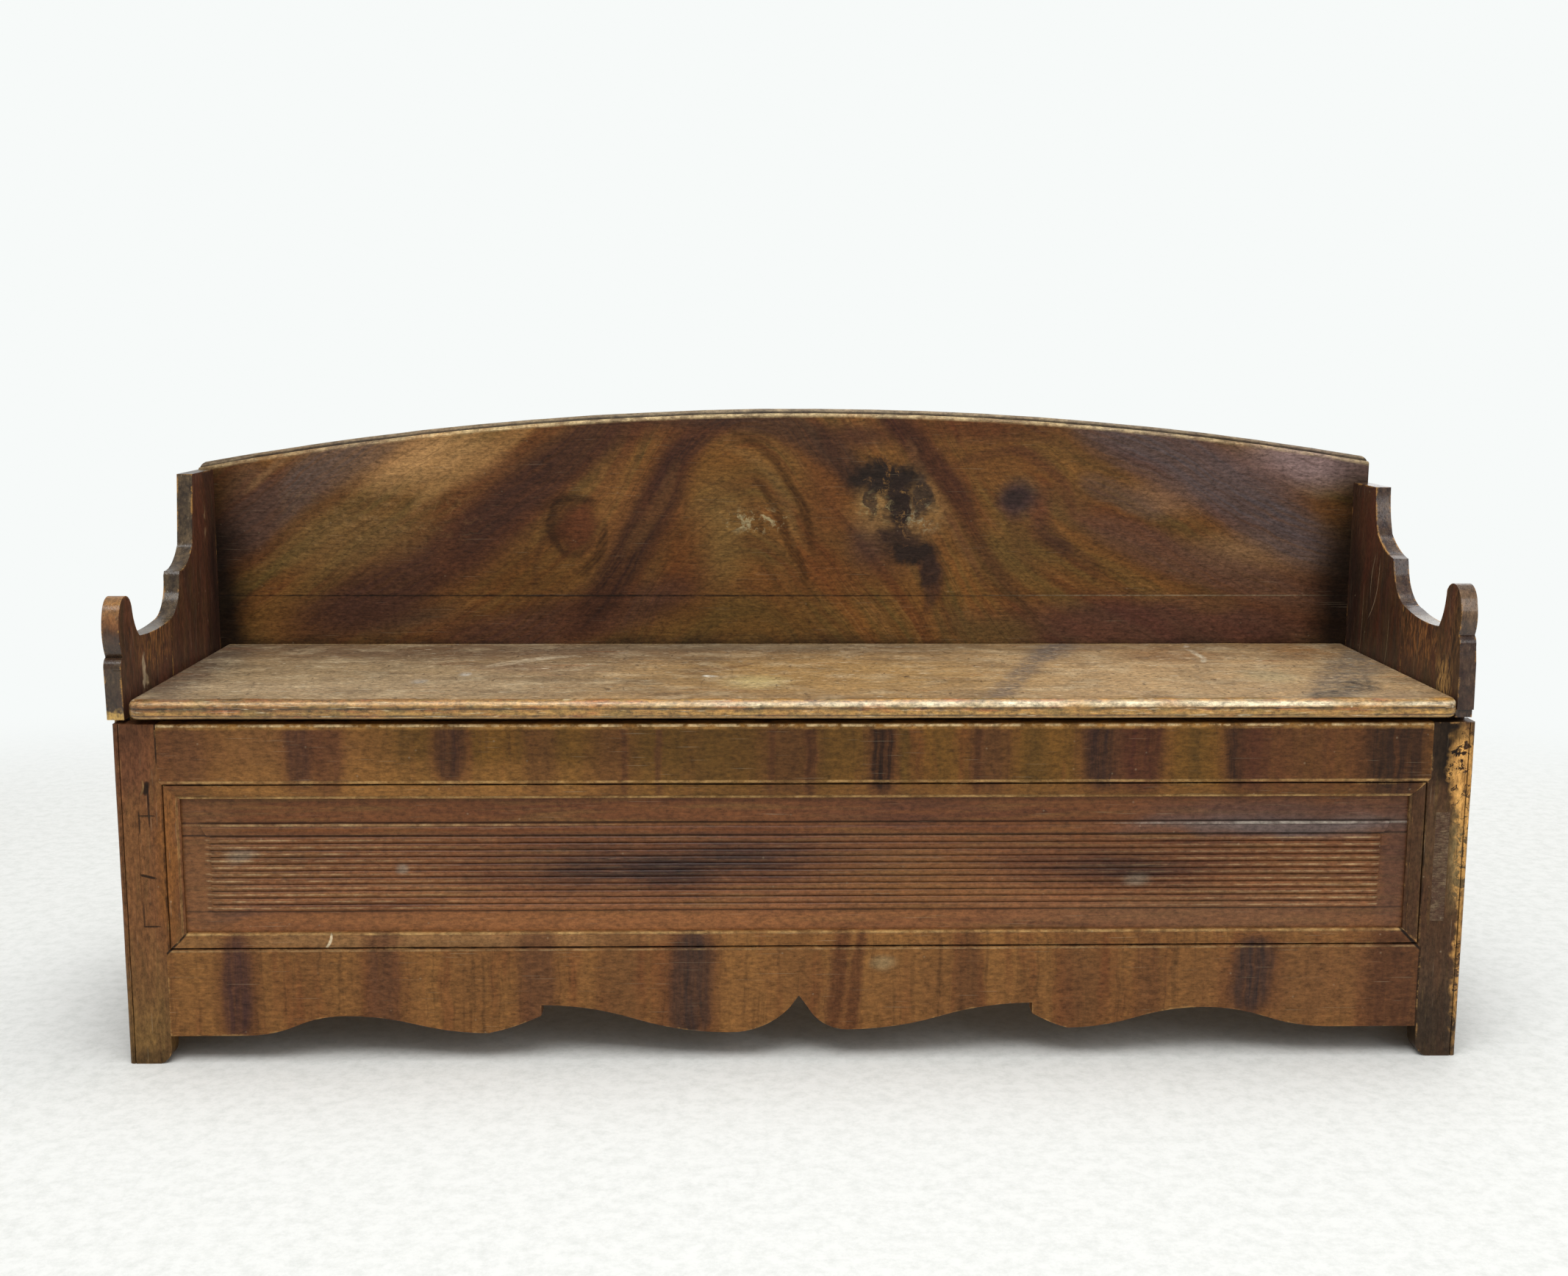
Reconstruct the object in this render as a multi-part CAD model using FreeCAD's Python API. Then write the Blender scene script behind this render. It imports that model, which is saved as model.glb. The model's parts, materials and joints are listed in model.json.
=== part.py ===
import FreeCAD, Part
import math
import os

from FreeCAD import Vector

# A pull-out settle bench in pine: a seat with scrolled ends and an arched back, whose front frame
# slides forward with its side boards and half of its slats to make a bed.
# Millimetres. X runs to the right, Y to the back, Z up from the floor.
# While the pieces are made, Y is measured from the face of the front frame. Each piece is moved as
# it is saved, so that the origin lies on the floor under the middle of the bench.

# Overall
END_SPAN = 1788.0         # over the outer faces of the ends
SEAT_DEPTH = 451.0        # front frame's face to the face of the back planks
FRAME_HEIGHT = 462.0      # top of the front frame
BACK_ABOVE_SEAT = 361.0   # apex of the arched back above the seat
BACK_RADIUS = 5200.0      # of the arch
BACK_APEX_X = 36.0        # the arch was sawn a little off the middle

# Boards
END_T = 22.0
BACK_T = 24.0
LID_T = 25.0
STILE_T = 30.0
RAIL_T = 26.0
SIDE_T = 19.0
SLAT_T = 18.0

# Clearances and fits
FRAME_INSET = 1.5         # front frame inside the ends' outer faces
END_CLEARANCE = 1.5       # stiles' backs to the ends' front edges
ARM_CLEARANCE = 5.0       # frame top to the underside of the arms
LID_GAP = 8.0             # frame top to the lid
LID_LEFT_GAP = 7.0        # the loose lid lies to the right, as the front frame does
LID_RIGHT_GAP = 1.5
LID_BACK_GAP = 2.0
SIDE_CLEARANCE = 7.0      # pull-out side board to the end board, with the frame centred
FRAME_SHIFT = 5.0         # how far the frame has slid to the right in that clearance
RUNNER_CLEARANCE = 2.0    # runner to the stop that hangs inside it
SLAT_GAP = 6.0
JOINT_FIT = 0.15          # a tenon in its mortise, a tongue in its groove
STOP_CLEARANCE = 1.0

# Lid
LID_OVERHANG = 12.0
LID_CORNER_R = 20.0
LID_NOSE_R = 9.0          # top front arris, worn round
LID_UNDER_R = 6.0
BATTEN_W = 45.0
BATTEN_SPACING = 1040.0
BATTEN_FRONT = 60.0
BATTEN_REAR_GAP = 8.0     # batten to the rear cleat
DOVETAIL_NECK = 28.0
DOVETAIL_W = 36.0
DOVETAIL_D = 8.0
BATTEN_CHAMFER = 10.0

# Cleats, runners and bearers
CLEAT_W = 22.0
CLEAT_H = 25.0
REAR_CLEAT_W = 25.0
CLEAT_FRONT = 36.0
CLEAT_CHAMFER = 8.0
SLAT_DROP = 14.0          # underside of the slats and the side boards below the panel's opening
BEARER_FRONT = 52.0
BEARER_W = 22.0
BEARER_H = 45.0
LEDGE_W = 22.0
LEDGE_H = 25.0
LEDGE_STILE_GAP = 3.0

# Slats
FIXED_SLATS = 9
SLAT_EDGE = 2.0           # outer slat to the left stop
SLAT_ARRIS = 2.0

# Pull-out side boards
SIDE_H = 200.0
SIDE_REAR_GAP = 10.0      # to the back planks
SIDE_CORNER_R = 40.0
SIDE_TENON_SHOULDER = 25.0
STOP_T = 20.0
STOP_D = 20.0
STOP_DROP = 30.0          # below the side board
STOP_LAP = 40.0           # up the side board

# Wedge in the left through-tenon
WEDGE_T = 2.2
WEDGE_TIP = 0.4
WEDGE_L = 24.0
WEDGE_TILT = 17.0         # degrees, as it was driven

# Front frame
STILE_W = 56.0            # to the rails' shoulders, without the moulding
TOP_RAIL_H = 101.0        # with its moulding
PANEL_OPEN_H = 182.0
RAIL_ARRIS = 3.0
RAIL_TENON_L = 40.0
RAIL_TENON_SHOULDER = 12.0
FOOT_ROUND_H = 24.0
FOOT_ROUND_W = 15.0
BEAD_W = 7.0              # bead on the stiles' outer arrises
BEAD_SIDE = 6.5
BEAD_TOP = 0.6
BEAD_QUIRK_W = 1.6
BEAD_QUIRK_D = 1.8

# Stuck moulding round the panel, by width from the shoulder line and depth below the face
MOULD_W = 25.0
MOULD_FLAT = 4.0
MOULD_QUIRK_W = 2.2
MOULD_QUIRK_D = 2.4
MOULD_LIP_W = 4.0
MOULD_LIP_D = 5.5
THUMB_TOP = 0.4
THUMB_MID = 0.9
THUMB_FALL = 3.4
THUMB_STEP = 1.0

# Panel
GROOVE_FROM_FACE = 10.0
GROOVE_W = 8.0
GROOVE_D = 10.0
PANEL_PLAY = 1.0          # room for the panel to swell in its grooves
FIELD_MARGIN_TOP = 34.0
FIELD_MARGIN_LOW = 28.5
FIELD_MARGIN_END = 33.0
REEDS = 11
REED_RISE = 3.6
VALLEY_RISE = 1.2
REED_END_SLOPE = 6.0
TOP_BEAD_H = 13.5
TOP_FILLET_H = 4.5
TOP_MITRE = 11.0          # how far the top bead runs past the reeds

# Scalloped apron, each half measured from the centre and from the floor
APRON_EYE_Z = 90.5        # the notch at the centre
APRON_EYE_W = 24.0
APRON_EYE_SIDE_Z = 74.0
APRON_STEP_TOP = 78.8
APRON_STEP_FOOT = 64.0
LEFT_APRON = {"inner_low": (96.0, 39.5), "step": 344.0, "outer_low": (415.0, 40.0),
              "crest": (605.0, 65.5), "end": (735.0, 38.5)}
RIGHT_APRON = {"inner_low": (65.0, 42.4), "step": 314.0, "outer_low": (362.0, 43.2),
               "crest": (545.0, 71.5), "end": (716.0, 42.8)}

# Scrolled arms, sawn by hand and not quite alike: depths are from the frame's face, and heights
# are above the underside of the arms. Each arm is followed from the back planks to the post's foot.
LEFT_ARM = {"top": (345.0, 296.0), "wing_bow": 1.0, "wing_foot": (331.0, 194.0),
            "upper_cove": (307.0, 173.0), "cusp": (265.0, 163.0), "cusp_foot": (261.0, 157.0),
            "lower_cove": (249.0, 121.0), "cove_foot": (212.0, 101.0),
            "valley": (140.0, 96.5), "hook": (82.0, 99.0),
            "hook_back": (66.0, 116.0), "scroll_back": (57.0, 138.0),
            "scroll_top": (36.0, 158.0), "scroll_front": (7.0, 141.0),
            "scroll_bulge": (2.0, 123.0), "neck": (11.0, 81.0),
            "bead": (3.5, 76.5), "bead_foot": (0.5, 67.0), "post": ((4.0, 0.0),)}
RIGHT_ARM = {"top": (351.0, 279.0), "wing_bow": 4.0, "wing_foot": (334.0, 211.0),
             "upper_cove": (302.0, 192.0), "cusp": (265.0, 182.0), "cusp_foot": (261.0, 169.0),
             "lower_cove": (238.0, 133.0), "cove_foot": (200.0, 118.0),
             "valley": (135.0, 109.5), "hook": (83.0, 111.0),
             "hook_back": (69.0, 134.0), "scroll_back": (62.0, 163.0),
             "scroll_top": (38.0, 174.5), "scroll_front": (12.0, 151.0),
             "scroll_bulge": (8.5, 131.0), "neck": (14.5, 109.0),
             "bead": (9.0, 102.5), "bead_foot": (8.0, 95.0),
             "post": ((4.5, 73.0), (3.0, 11.0), (8.0, 11.0), (8.0, 0.0))}

# Ends
END_JOINT = 215.0         # glue joint between the front and the rear board
END_FOOT = 130.0
END_ARCH_H = 70.0

# Back planks
BACK_FLOOR_GAP = 70.0
UPPER_JOINT_ABOVE_SEAT = 75.0
MIDDLE_PLANK_H = 250.0
TONGUE_T = 8.0
TONGUE_H = 8.0
BACK_CORNER_R = 12.0
EDGE_FRONT_DROP = 11.0    # the arched edge's front arris below its bead
EDGE_FRONT_R = 4.0
EDGE_LIST_W = 7.0         # flat between the front arris and the bead
EDGE_LIST_DROP = 6.5
EDGE_QUIRK_D = 2.0
EDGE_QUIRK_W = 2.0

# Nails
NAIL_T = 3.4
NAIL_L = 55.0
NAIL_HEAD_W = 9.0
NAIL_HEAD_H = 1.6
NAIL_SINK = 0.3           # crown of the head below the plank's rear face
NAIL_FROM_JOINT = 32.0

# Places worked out from the above
HALF_SPAN = END_SPAN / 2
END_IN = HALF_SPAN - END_T
BACK_FACE = SEAT_DEPTH
BACK_REAR = SEAT_DEPTH + BACK_T
ARM_Z = FRAME_HEIGHT + ARM_CLEARANCE
ARM_TOP = ARM_Z + max(LEFT_ARM["top"][1], RIGHT_ARM["top"][1])
LID_Z = FRAME_HEIGHT + LID_GAP
SEAT_TOP = LID_Z + LID_T
APEX = SEAT_TOP + BACK_ABOVE_SEAT
ARCH_CENTRE_Z = APEX - BACK_RADIUS
UPPER_JOINT = SEAT_TOP + UPPER_JOINT_ABOVE_SEAT
LOWER_JOINT = UPPER_JOINT - MIDDLE_PLANK_H
END_FRONT = STILE_T + END_CLEARANCE
FRAME_OUT = HALF_SPAN - FRAME_INSET
SHOULDER = FRAME_OUT - STILE_W
OPEN_X = SHOULDER - MOULD_W
OPEN_HIGH = FRAME_HEIGHT - TOP_RAIL_H
OPEN_LOW = OPEN_HIGH - PANEL_OPEN_H
TOP_SHOULDER_Z = OPEN_HIGH + MOULD_W
LOW_SHOULDER_Z = OPEN_LOW - MOULD_W
SLAT_LEVEL = OPEN_LOW - SLAT_DROP
GROOVE_BACK = GROOVE_FROM_FACE + GROOVE_W
SIDE_OUT = END_IN - SIDE_CLEARANCE
SIDE_IN = SIDE_OUT - SIDE_T
SIDE_REAR = BACK_FACE - SIDE_REAR_GAP
STOP_FACE = SIDE_REAR - STOP_D
BEARER_REAR = BEARER_FRONT + BEARER_W
RUNNER_W = SIDE_CLEARANCE + SIDE_T - FRAME_SHIFT - RUNNER_CLEARANCE
SLAT_SPAN = SIDE_IN - STOP_T - FRAME_SHIFT - SLAT_EDGE
ALL_SLATS = 2 * FIXED_SLATS - 1
SLAT_PITCH = (2 * SLAT_SPAN + SLAT_GAP) / ALL_SLATS
PULL_TRAVEL = STOP_FACE - BEARER_REAR - STOP_CLEARANCE
FRAME_PROUD = max(0.0, FRAME_OUT + FRAME_SHIFT - HALF_SPAN)
TO_ORIGIN = Vector(-FRAME_PROUD / 2, (LID_OVERHANG - BACK_REAR) / 2, 0)


def board(x0, x1, y0, y1, z0, z1):
    return Part.makeBox(x1 - x0, y1 - y0, z1 - z0, Vector(x0, y0, z0))


def in_side(depth, height):
    """A point of an outline drawn on the bench's side."""
    return Vector(0, depth, height)


def in_front(x, z):
    """A point of an outline drawn on the bench's front."""
    return Vector(x, 0, z)


def outline(start, *steps):
    """A closed face. A step is the next corner, or the middle and the end of an arc."""
    edges = []
    here = start
    for step in steps:
        if isinstance(step, tuple):
            middle, there = step
            edges.append(Part.Arc(here, middle, there).toShape())
        else:
            there = step
            edges.append(Part.LineSegment(here, there).toShape())
        here = there
    edges.append(Part.LineSegment(here, start).toShape())
    return Part.Face(Part.Wire(edges))


def along_x(face, x0, x1):
    face.translate(Vector(x0, 0, 0))
    return face.extrude(Vector(x1 - x0, 0, 0))


def along_y(face, y0, y1):
    face.translate(Vector(0, y0, 0))
    return face.extrude(Vector(0, y1 - y0, 0))


def along_z(face, z0, z1):
    face.translate(Vector(0, 0, z0))
    return face.extrude(Vector(0, 0, z1 - z0))


def mirrored(shape):
    return shape.mirror(Vector(0, 0, 0), Vector(1, 0, 0))


def chamfered(shape, size, keep_edge):
    """Chamfers the edges that keep_edge picks by their middle point."""
    edges = [e for e in shape.Edges if keep_edge(e.CenterOfMass)]
    return shape.makeChamfer(size, edges)


def save(name, shape, shift=0):
    """Writes a piece, moved to the right by shift and then to the bench's origin."""
    shape.translate(Vector(shift, 0, 0) + TO_ORIGIN)
    if not shape.isValid() or not shape.Solids:
        raise ValueError(name + " isn't a sound solid")
    shape.exportStep("parts/" + name + ".step")


def save_pair(name, right, shift=0):
    """Saves a piece of the right side and its mirror image on the left."""
    left = mirrored(right)
    save("right_" + name, right, shift)
    save("left_" + name, left, shift)


# Ends

def end_board(arm):
    """The right end in one piece: arched foot, scrolled arm and wing."""
    def at(name):
        depth, height = arm[name]
        return in_side(depth, ARM_Z + height)

    wing_top = at("top")
    wing_middle = (wing_top + at("wing_foot")) * 0.5 + Vector(0, arm["wing_bow"], 0)
    post = [in_side(depth, ARM_Z + height) for depth, height in arm["post"]]
    arch_front = END_FRONT + END_FOOT
    arch_rear = BACK_FACE - END_FOOT
    arch_top = in_side((arch_front + arch_rear) / 2, END_ARCH_H)
    face = outline(
        in_side(BACK_FACE, 0),
        in_side(BACK_FACE, wing_top.z),
        wing_top,
        (wing_middle, at("wing_foot")),
        (at("upper_cove"), at("cusp")),
        at("cusp_foot"),
        (at("lower_cove"), at("cove_foot")),
        (at("valley"), at("hook")),
        (at("hook_back"), at("scroll_back")),
        (at("scroll_top"), at("scroll_front")),
        (at("scroll_bulge"), at("neck")),
        (at("bead"), at("bead_foot")),
        *post,
        in_side(END_FRONT, ARM_Z),
        in_side(END_FRONT, 0),
        in_side(arch_front, 0),
        (arch_top, in_side(arch_rear, 0)),
    )
    return along_x(face, END_IN, HALF_SPAN)


def make_ends():
    left = mirrored(end_board(LEFT_ARM))
    right = end_board(RIGHT_ARM)
    front = board(-HALF_SPAN, HALF_SPAN, 0, END_JOINT, 0, ARM_TOP)
    rear = board(-HALF_SPAN, HALF_SPAN, END_JOINT, BACK_FACE, 0, ARM_TOP)
    save("left_end_front_board", left.common(front))
    save("left_end_rear_board", left.common(rear))
    save("right_end_front_board", right.common(front))
    save("right_end_rear_board", right.common(rear))


# Back

def plank_between(low, high, groove, tongue):
    """A back plank, with a groove in its lower edge and a tongue on its upper one."""
    plank = board(-HALF_SPAN, HALF_SPAN, BACK_FACE, BACK_REAR, low, high)
    middle = (BACK_FACE + BACK_REAR) / 2
    half = TONGUE_T / 2
    if tongue:
        plank = plank.fuse(board(-HALF_SPAN, HALF_SPAN, middle - half, middle + half,
                                 high, high + TONGUE_H))
    if groove:
        slack = half + JOINT_FIT
        plank = plank.cut(board(-HALF_SPAN, HALF_SPAN, middle - slack, middle + slack,
                                low, low + TONGUE_H + JOINT_FIT))
    return plank.removeSplitter()


def moulded_arch():
    """A disc about the arch's centre, whose rim has the back's moulded edge."""
    rim = BACK_RADIUS
    inner = rim - 2 * BACK_ABOVE_SEAT
    arris_r = rim - EDGE_FRONT_DROP
    list_r = rim - EDGE_LIST_DROP
    list_front = BACK_FACE + EDGE_FRONT_R
    list_rear = BACK_FACE + EDGE_LIST_W
    bead_front = list_rear + EDGE_QUIRK_W
    bead_middle = (bead_front + BACK_REAR) / 2
    shoulder = math.sqrt(0.5)
    face = outline(
        in_side(BACK_FACE, inner),
        in_side(BACK_FACE, arris_r),
        (in_side(BACK_FACE + EDGE_FRONT_R * (1 - shoulder), arris_r + (list_r - arris_r) * shoulder),
         in_side(list_front, list_r)),
        in_side(list_rear, list_r),
        in_side(list_rear + EDGE_QUIRK_W / 2, list_r - EDGE_QUIRK_D),
        in_side(bead_front, list_r),
        (in_side(bead_middle, rim), in_side(BACK_REAR, list_r)),
        in_side(BACK_REAR, inner),
    )
    sweep = 2 * math.degrees(math.asin(END_SPAN / BACK_RADIUS))
    disc = face.revolve(Vector(0, 0, 0), Vector(0, 1, 0), sweep)
    disc.rotate(Vector(0, 0, 0), Vector(0, 1, 0), -sweep / 2)
    disc.translate(Vector(BACK_APEX_X, 0, ARCH_CENTRE_Z))
    return disc


def arch_z(x):
    """Height of the arched edge at x."""
    return ARCH_CENTRE_Z + math.sqrt(BACK_RADIUS ** 2 - (x - BACK_APEX_X) ** 2)


def top_plank():
    """The plank above the upper joint: arched, moulded and rounded at its two corners."""
    corner_x = HALF_SPAN - BACK_CORNER_R
    diagonal = BACK_CORNER_R * math.sqrt(0.5)
    left_z = arch_z(-corner_x) - BACK_CORNER_R
    right_z = arch_z(corner_x) - BACK_CORNER_R
    blank = along_y(outline(
        in_front(-HALF_SPAN, UPPER_JOINT),
        in_front(-HALF_SPAN, left_z),
        (in_front(-corner_x - diagonal, left_z + diagonal), in_front(-corner_x, left_z + BACK_CORNER_R)),
        in_front(-corner_x, APEX),
        in_front(corner_x, APEX),
        in_front(corner_x, right_z + BACK_CORNER_R),
        (in_front(corner_x + diagonal, right_z + diagonal), in_front(HALF_SPAN, right_z)),
        in_front(HALF_SPAN, UPPER_JOINT),
    ), BACK_FACE, BACK_REAR)
    return plank_between(UPPER_JOINT, APEX, True, False).common(blank).common(moulded_arch())


def make_back():
    """Three planks, each sunk for the heads of the nails that hold it to the ends."""
    bottom = plank_between(BACK_FLOOR_GAP, LOWER_JOINT, False, True)
    middle = plank_between(LOWER_JOINT, UPPER_JOINT, True, True)
    nails = []
    for name, plank, low, high in (
        ("back_bottom_plank", bottom, BACK_FLOOR_GAP, LOWER_JOINT),
        ("back_middle_plank", middle, LOWER_JOINT, UPPER_JOINT),
        ("back_top_plank", top_plank(), UPPER_JOINT, ARM_TOP),
    ):
        for z in (low + NAIL_FROM_JOINT, (low + high) / 2, high - NAIL_FROM_JOINT):
            for x in (-HALF_SPAN + END_T / 2, HALF_SPAN - END_T / 2):
                plank = plank.cut(nail_sinking(x, z))
                nails.append(nail(x, z))
        save(name, plank)
    save("back_nails", Part.makeCompound(nails))


def nail_sinking(x, z):
    half = NAIL_HEAD_W / 2
    return board(x - half, x + half, BACK_REAR - NAIL_SINK - NAIL_HEAD_H, BACK_REAR + 1,
                 z - half, z + half)


def nail(x, z):
    """A cut nail through a back plank into the edge of an end, with a four-sided head."""
    half = NAIL_HEAD_W / 2
    crown = NAIL_T / 2
    seat = BACK_REAR - NAIL_SINK - NAIL_HEAD_H
    shank = board(x - crown, x + crown, BACK_REAR - NAIL_L, seat, z - crown, z + crown)
    sections = []
    for reach, y in ((half, seat), (crown, BACK_REAR - NAIL_SINK)):
        corners = [(-reach, -reach), (reach, -reach), (reach, reach), (-reach, reach), (-reach, -reach)]
        sections.append(Part.makePolygon([Vector(x + a, y, z + b) for a, b in corners]))
    return shank.fuse(Part.makeLoft(sections, True, True))


# What carries the lid, the slats and the pull-out side boards

def make_cleats():
    top = LID_Z
    low = top - CLEAT_H
    rear_cleat_y = BACK_FACE - REAR_CLEAT_W
    side = board(END_IN - CLEAT_W, END_IN, CLEAT_FRONT, rear_cleat_y, low, top)
    side = chamfered(side, CLEAT_CHAMFER, lambda p: p.z < low + 1 and p.x < END_IN - CLEAT_W + 1)
    save_pair("lid_cleat", side)
    rear = board(-END_IN, END_IN, rear_cleat_y, BACK_FACE, low, top)
    rear = chamfered(rear, CLEAT_CHAMFER, lambda p: p.z < low + 1 and p.y < rear_cleat_y + 1)
    save("rear_lid_cleat", rear)


def make_runners_and_ledges():
    low = SLAT_LEVEL - LEDGE_H
    runner = board(END_IN - RUNNER_W, END_IN, BEARER_REAR, BACK_FACE, low, SLAT_LEVEL)
    runner = chamfered(runner, CLEAT_CHAMFER, lambda p: p.z < low + 1 and p.x < END_IN - RUNNER_W + 1)
    save_pair("runner", runner)
    bearer = board(-END_IN, END_IN, BEARER_FRONT, BEARER_REAR, SLAT_LEVEL - BEARER_H, SLAT_LEVEL)
    bearer = chamfered(bearer, SLAT_ARRIS, lambda p: p.z < SLAT_LEVEL - BEARER_H + 1 and abs(p.x) < 1)
    save("slat_bearer", bearer)
    ledge_front = BACK_FACE - REAR_CLEAT_W
    rear_ledge = board(-SLAT_SPAN, SLAT_SPAN, ledge_front, BACK_FACE, low, SLAT_LEVEL)
    rear_ledge = chamfered(rear_ledge, CLEAT_CHAMFER, lambda p: p.z < low + 1 and p.y < ledge_front + 1)
    save("rear_slat_ledge", rear_ledge)
    ledge_x = OPEN_X - LEDGE_STILE_GAP
    front_ledge = board(-ledge_x, ledge_x, RAIL_T, RAIL_T + LEDGE_W, low, SLAT_LEVEL)
    front_ledge = chamfered(front_ledge, CLEAT_CHAMFER,
                            lambda p: p.z < low + 1 and p.y > RAIL_T + LEDGE_W - 1)
    save("front_slat_ledge", front_ledge, FRAME_SHIFT)


def slat(place, y0, y1):
    """The slat at a place counted from the left, with its long upper arrises taken off."""
    x0 = -SLAT_SPAN + place * SLAT_PITCH
    x1 = x0 + SLAT_PITCH - SLAT_GAP
    top = SLAT_LEVEL + SLAT_T
    blank = board(x0, x1, y0, y1, SLAT_LEVEL, top)
    return chamfered(blank, SLAT_ARRIS, lambda p: p.z > top - 1 and (p.x < x0 + 1 or p.x > x1 - 1))


def make_slats():
    """Fixed and sliding slats lie in turn, and a fixed one is at each end."""
    for place in range(ALL_SLATS):
        number = place // 2 + 1
        if place % 2 == 0:
            save("fixed_slat_%d" % number, slat(place, BEARER_FRONT, BACK_FACE))
        else:
            save("sliding_slat_%d" % number, slat(place, RAIL_T, SIDE_REAR))


# Front frame

def moulding(place):
    """The stuck moulding's steps, from the flat of the face to its lip.
    place turns a width from the shoulder line and a depth below the face into a point."""
    quirk_end = MOULD_FLAT + MOULD_QUIRK_W
    thumb_end = MOULD_W - MOULD_LIP_W
    return [
        place(MOULD_FLAT, 0),
        place(MOULD_FLAT + MOULD_QUIRK_W / 2, MOULD_QUIRK_D),
        place(quirk_end, THUMB_TOP),
        (place((quirk_end + thumb_end) / 2, THUMB_MID), place(thumb_end, THUMB_FALL)),
        place(thumb_end, THUMB_FALL + THUMB_STEP),
        place(MOULD_W, MOULD_LIP_D),
    ]


def rail_tenon(z0, z1, slack):
    """The right tenon of a rail, or its mortise where there is slack."""
    return board(SHOULDER - slack, SHOULDER + RAIL_TENON_L + slack,
                 GROOVE_FROM_FACE - slack, GROOVE_BACK + slack, z0 - slack, z1 + slack)


def top_tenon(slack):
    return rail_tenon(TOP_SHOULDER_Z + RAIL_TENON_SHOULDER, FRAME_HEIGHT - RAIL_TENON_SHOULDER, slack)


def low_tenon(slack):
    lowest = max(LEFT_APRON["end"][1], RIGHT_APRON["end"][1])
    return rail_tenon(lowest + RAIL_TENON_SHOULDER, LOW_SHOULDER_Z - RAIL_TENON_SHOULDER, slack)


def side_tenon(slack):
    """The right through-tenon of a pull-out side board, or its mortise where there is slack."""
    low = SLAT_LEVEL + SIDE_TENON_SHOULDER
    high = SLAT_LEVEL + SIDE_H - SIDE_TENON_SHOULDER
    return board(SIDE_IN - slack, SIDE_OUT + slack, -slack, STILE_T + slack, low - slack, high + slack)


def stile():
    """The right stile: bead outside, moulding inside, mitred to the rails at the opening's corners."""
    quirk = FRAME_OUT - BEAD_W
    inner = OPEN_X
    steps = moulding(lambda width, depth: Vector(SHOULDER - width, depth, 0))
    section = outline(
        Vector(FRAME_OUT, STILE_T, 0),
        Vector(FRAME_OUT, BEAD_SIDE, 0),
        (Vector(FRAME_OUT - BEAD_W / 4, BEAD_SIDE / 4, 0), Vector(quirk, BEAD_TOP, 0)),
        Vector(quirk - BEAD_QUIRK_W / 2, BEAD_QUIRK_D, 0),
        Vector(quirk - BEAD_QUIRK_W, 0, 0),
        *steps,
        Vector(inner, GROOVE_FROM_FACE, 0),
        Vector(inner + GROOVE_D, GROOVE_FROM_FACE, 0),
        Vector(inner + GROOVE_D, GROOVE_BACK, 0),
        Vector(inner, GROOVE_BACK, 0),
        Vector(inner, STILE_T, 0),
    )
    post = along_z(section, 0, FRAME_HEIGHT)
    keep = along_y(outline(
        in_front(FRAME_OUT, FRAME_HEIGHT),
        in_front(SHOULDER, FRAME_HEIGHT),
        in_front(SHOULDER, TOP_SHOULDER_Z),
        in_front(OPEN_X, OPEN_HIGH),
        in_front(OPEN_X, OPEN_LOW),
        in_front(SHOULDER, LOW_SHOULDER_Z),
        in_front(SHOULDER, FOOT_ROUND_H),
        (in_front(SHOULDER + FOOT_ROUND_W * 0.3, FOOT_ROUND_H * 0.3),
         in_front(SHOULDER + FOOT_ROUND_W, 0)),
        in_front(FRAME_OUT, 0),
    ), 0, STILE_T)
    post = post.common(keep)
    for mortise in (top_tenon(JOINT_FIT), low_tenon(JOINT_FIT), side_tenon(JOINT_FIT)):
        post = post.cut(mortise)
    return post


def with_tenons(rail, tenon):
    return rail.fuse([tenon, mirrored(tenon)]).removeSplitter()


def top_rail():
    steps = moulding(lambda width, depth: in_side(depth, TOP_SHOULDER_Z - width))
    arris = RAIL_ARRIS * (1 - math.sqrt(0.5))
    section = outline(
        in_side(RAIL_T, FRAME_HEIGHT),
        in_side(RAIL_ARRIS, FRAME_HEIGHT),
        (in_side(arris, FRAME_HEIGHT - arris), in_side(0, FRAME_HEIGHT - RAIL_ARRIS)),
        *steps,
        in_side(GROOVE_FROM_FACE, OPEN_HIGH),
        in_side(GROOVE_FROM_FACE, OPEN_HIGH + GROOVE_D),
        in_side(GROOVE_BACK, OPEN_HIGH + GROOVE_D),
        in_side(GROOVE_BACK, OPEN_HIGH),
        in_side(RAIL_T, OPEN_HIGH),
    )
    keep = along_y(outline(
        in_front(-SHOULDER, FRAME_HEIGHT),
        in_front(SHOULDER, FRAME_HEIGHT),
        in_front(SHOULDER, TOP_SHOULDER_Z),
        in_front(OPEN_X, OPEN_HIGH),
        in_front(-OPEN_X, OPEN_HIGH),
        in_front(-SHOULDER, TOP_SHOULDER_Z),
    ), 0, RAIL_T)
    rail = along_x(section, -SHOULDER, SHOULDER).common(keep)
    return with_tenons(rail, top_tenon(0))


def ogee(start, end, side):
    """Two arcs that run level at both ends and meet half way. side is -1 on the left half."""
    x0, z0 = start
    x1, z1 = end
    steps = []
    middle = ((x0 + x1) / 2, (z0 + z1) / 2)
    radius = ((x1 - x0) ** 2 + (z1 - z0) ** 2) / (4 * abs(z1 - z0))
    quarter = abs(x1 - x0) / 4
    bow = (radius - math.sqrt(radius ** 2 - quarter ** 2)) * math.copysign(1, z1 - z0)
    first = ((3 * x0 + x1) / 4, z0 + bow)
    second = ((x0 + 3 * x1) / 4, z1 - bow)
    steps.append((in_front(side * first[0], first[1]), in_front(side * middle[0], middle[1])))
    steps.append((in_front(side * second[0], second[1]), in_front(side * x1, z1)))
    return steps


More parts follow.
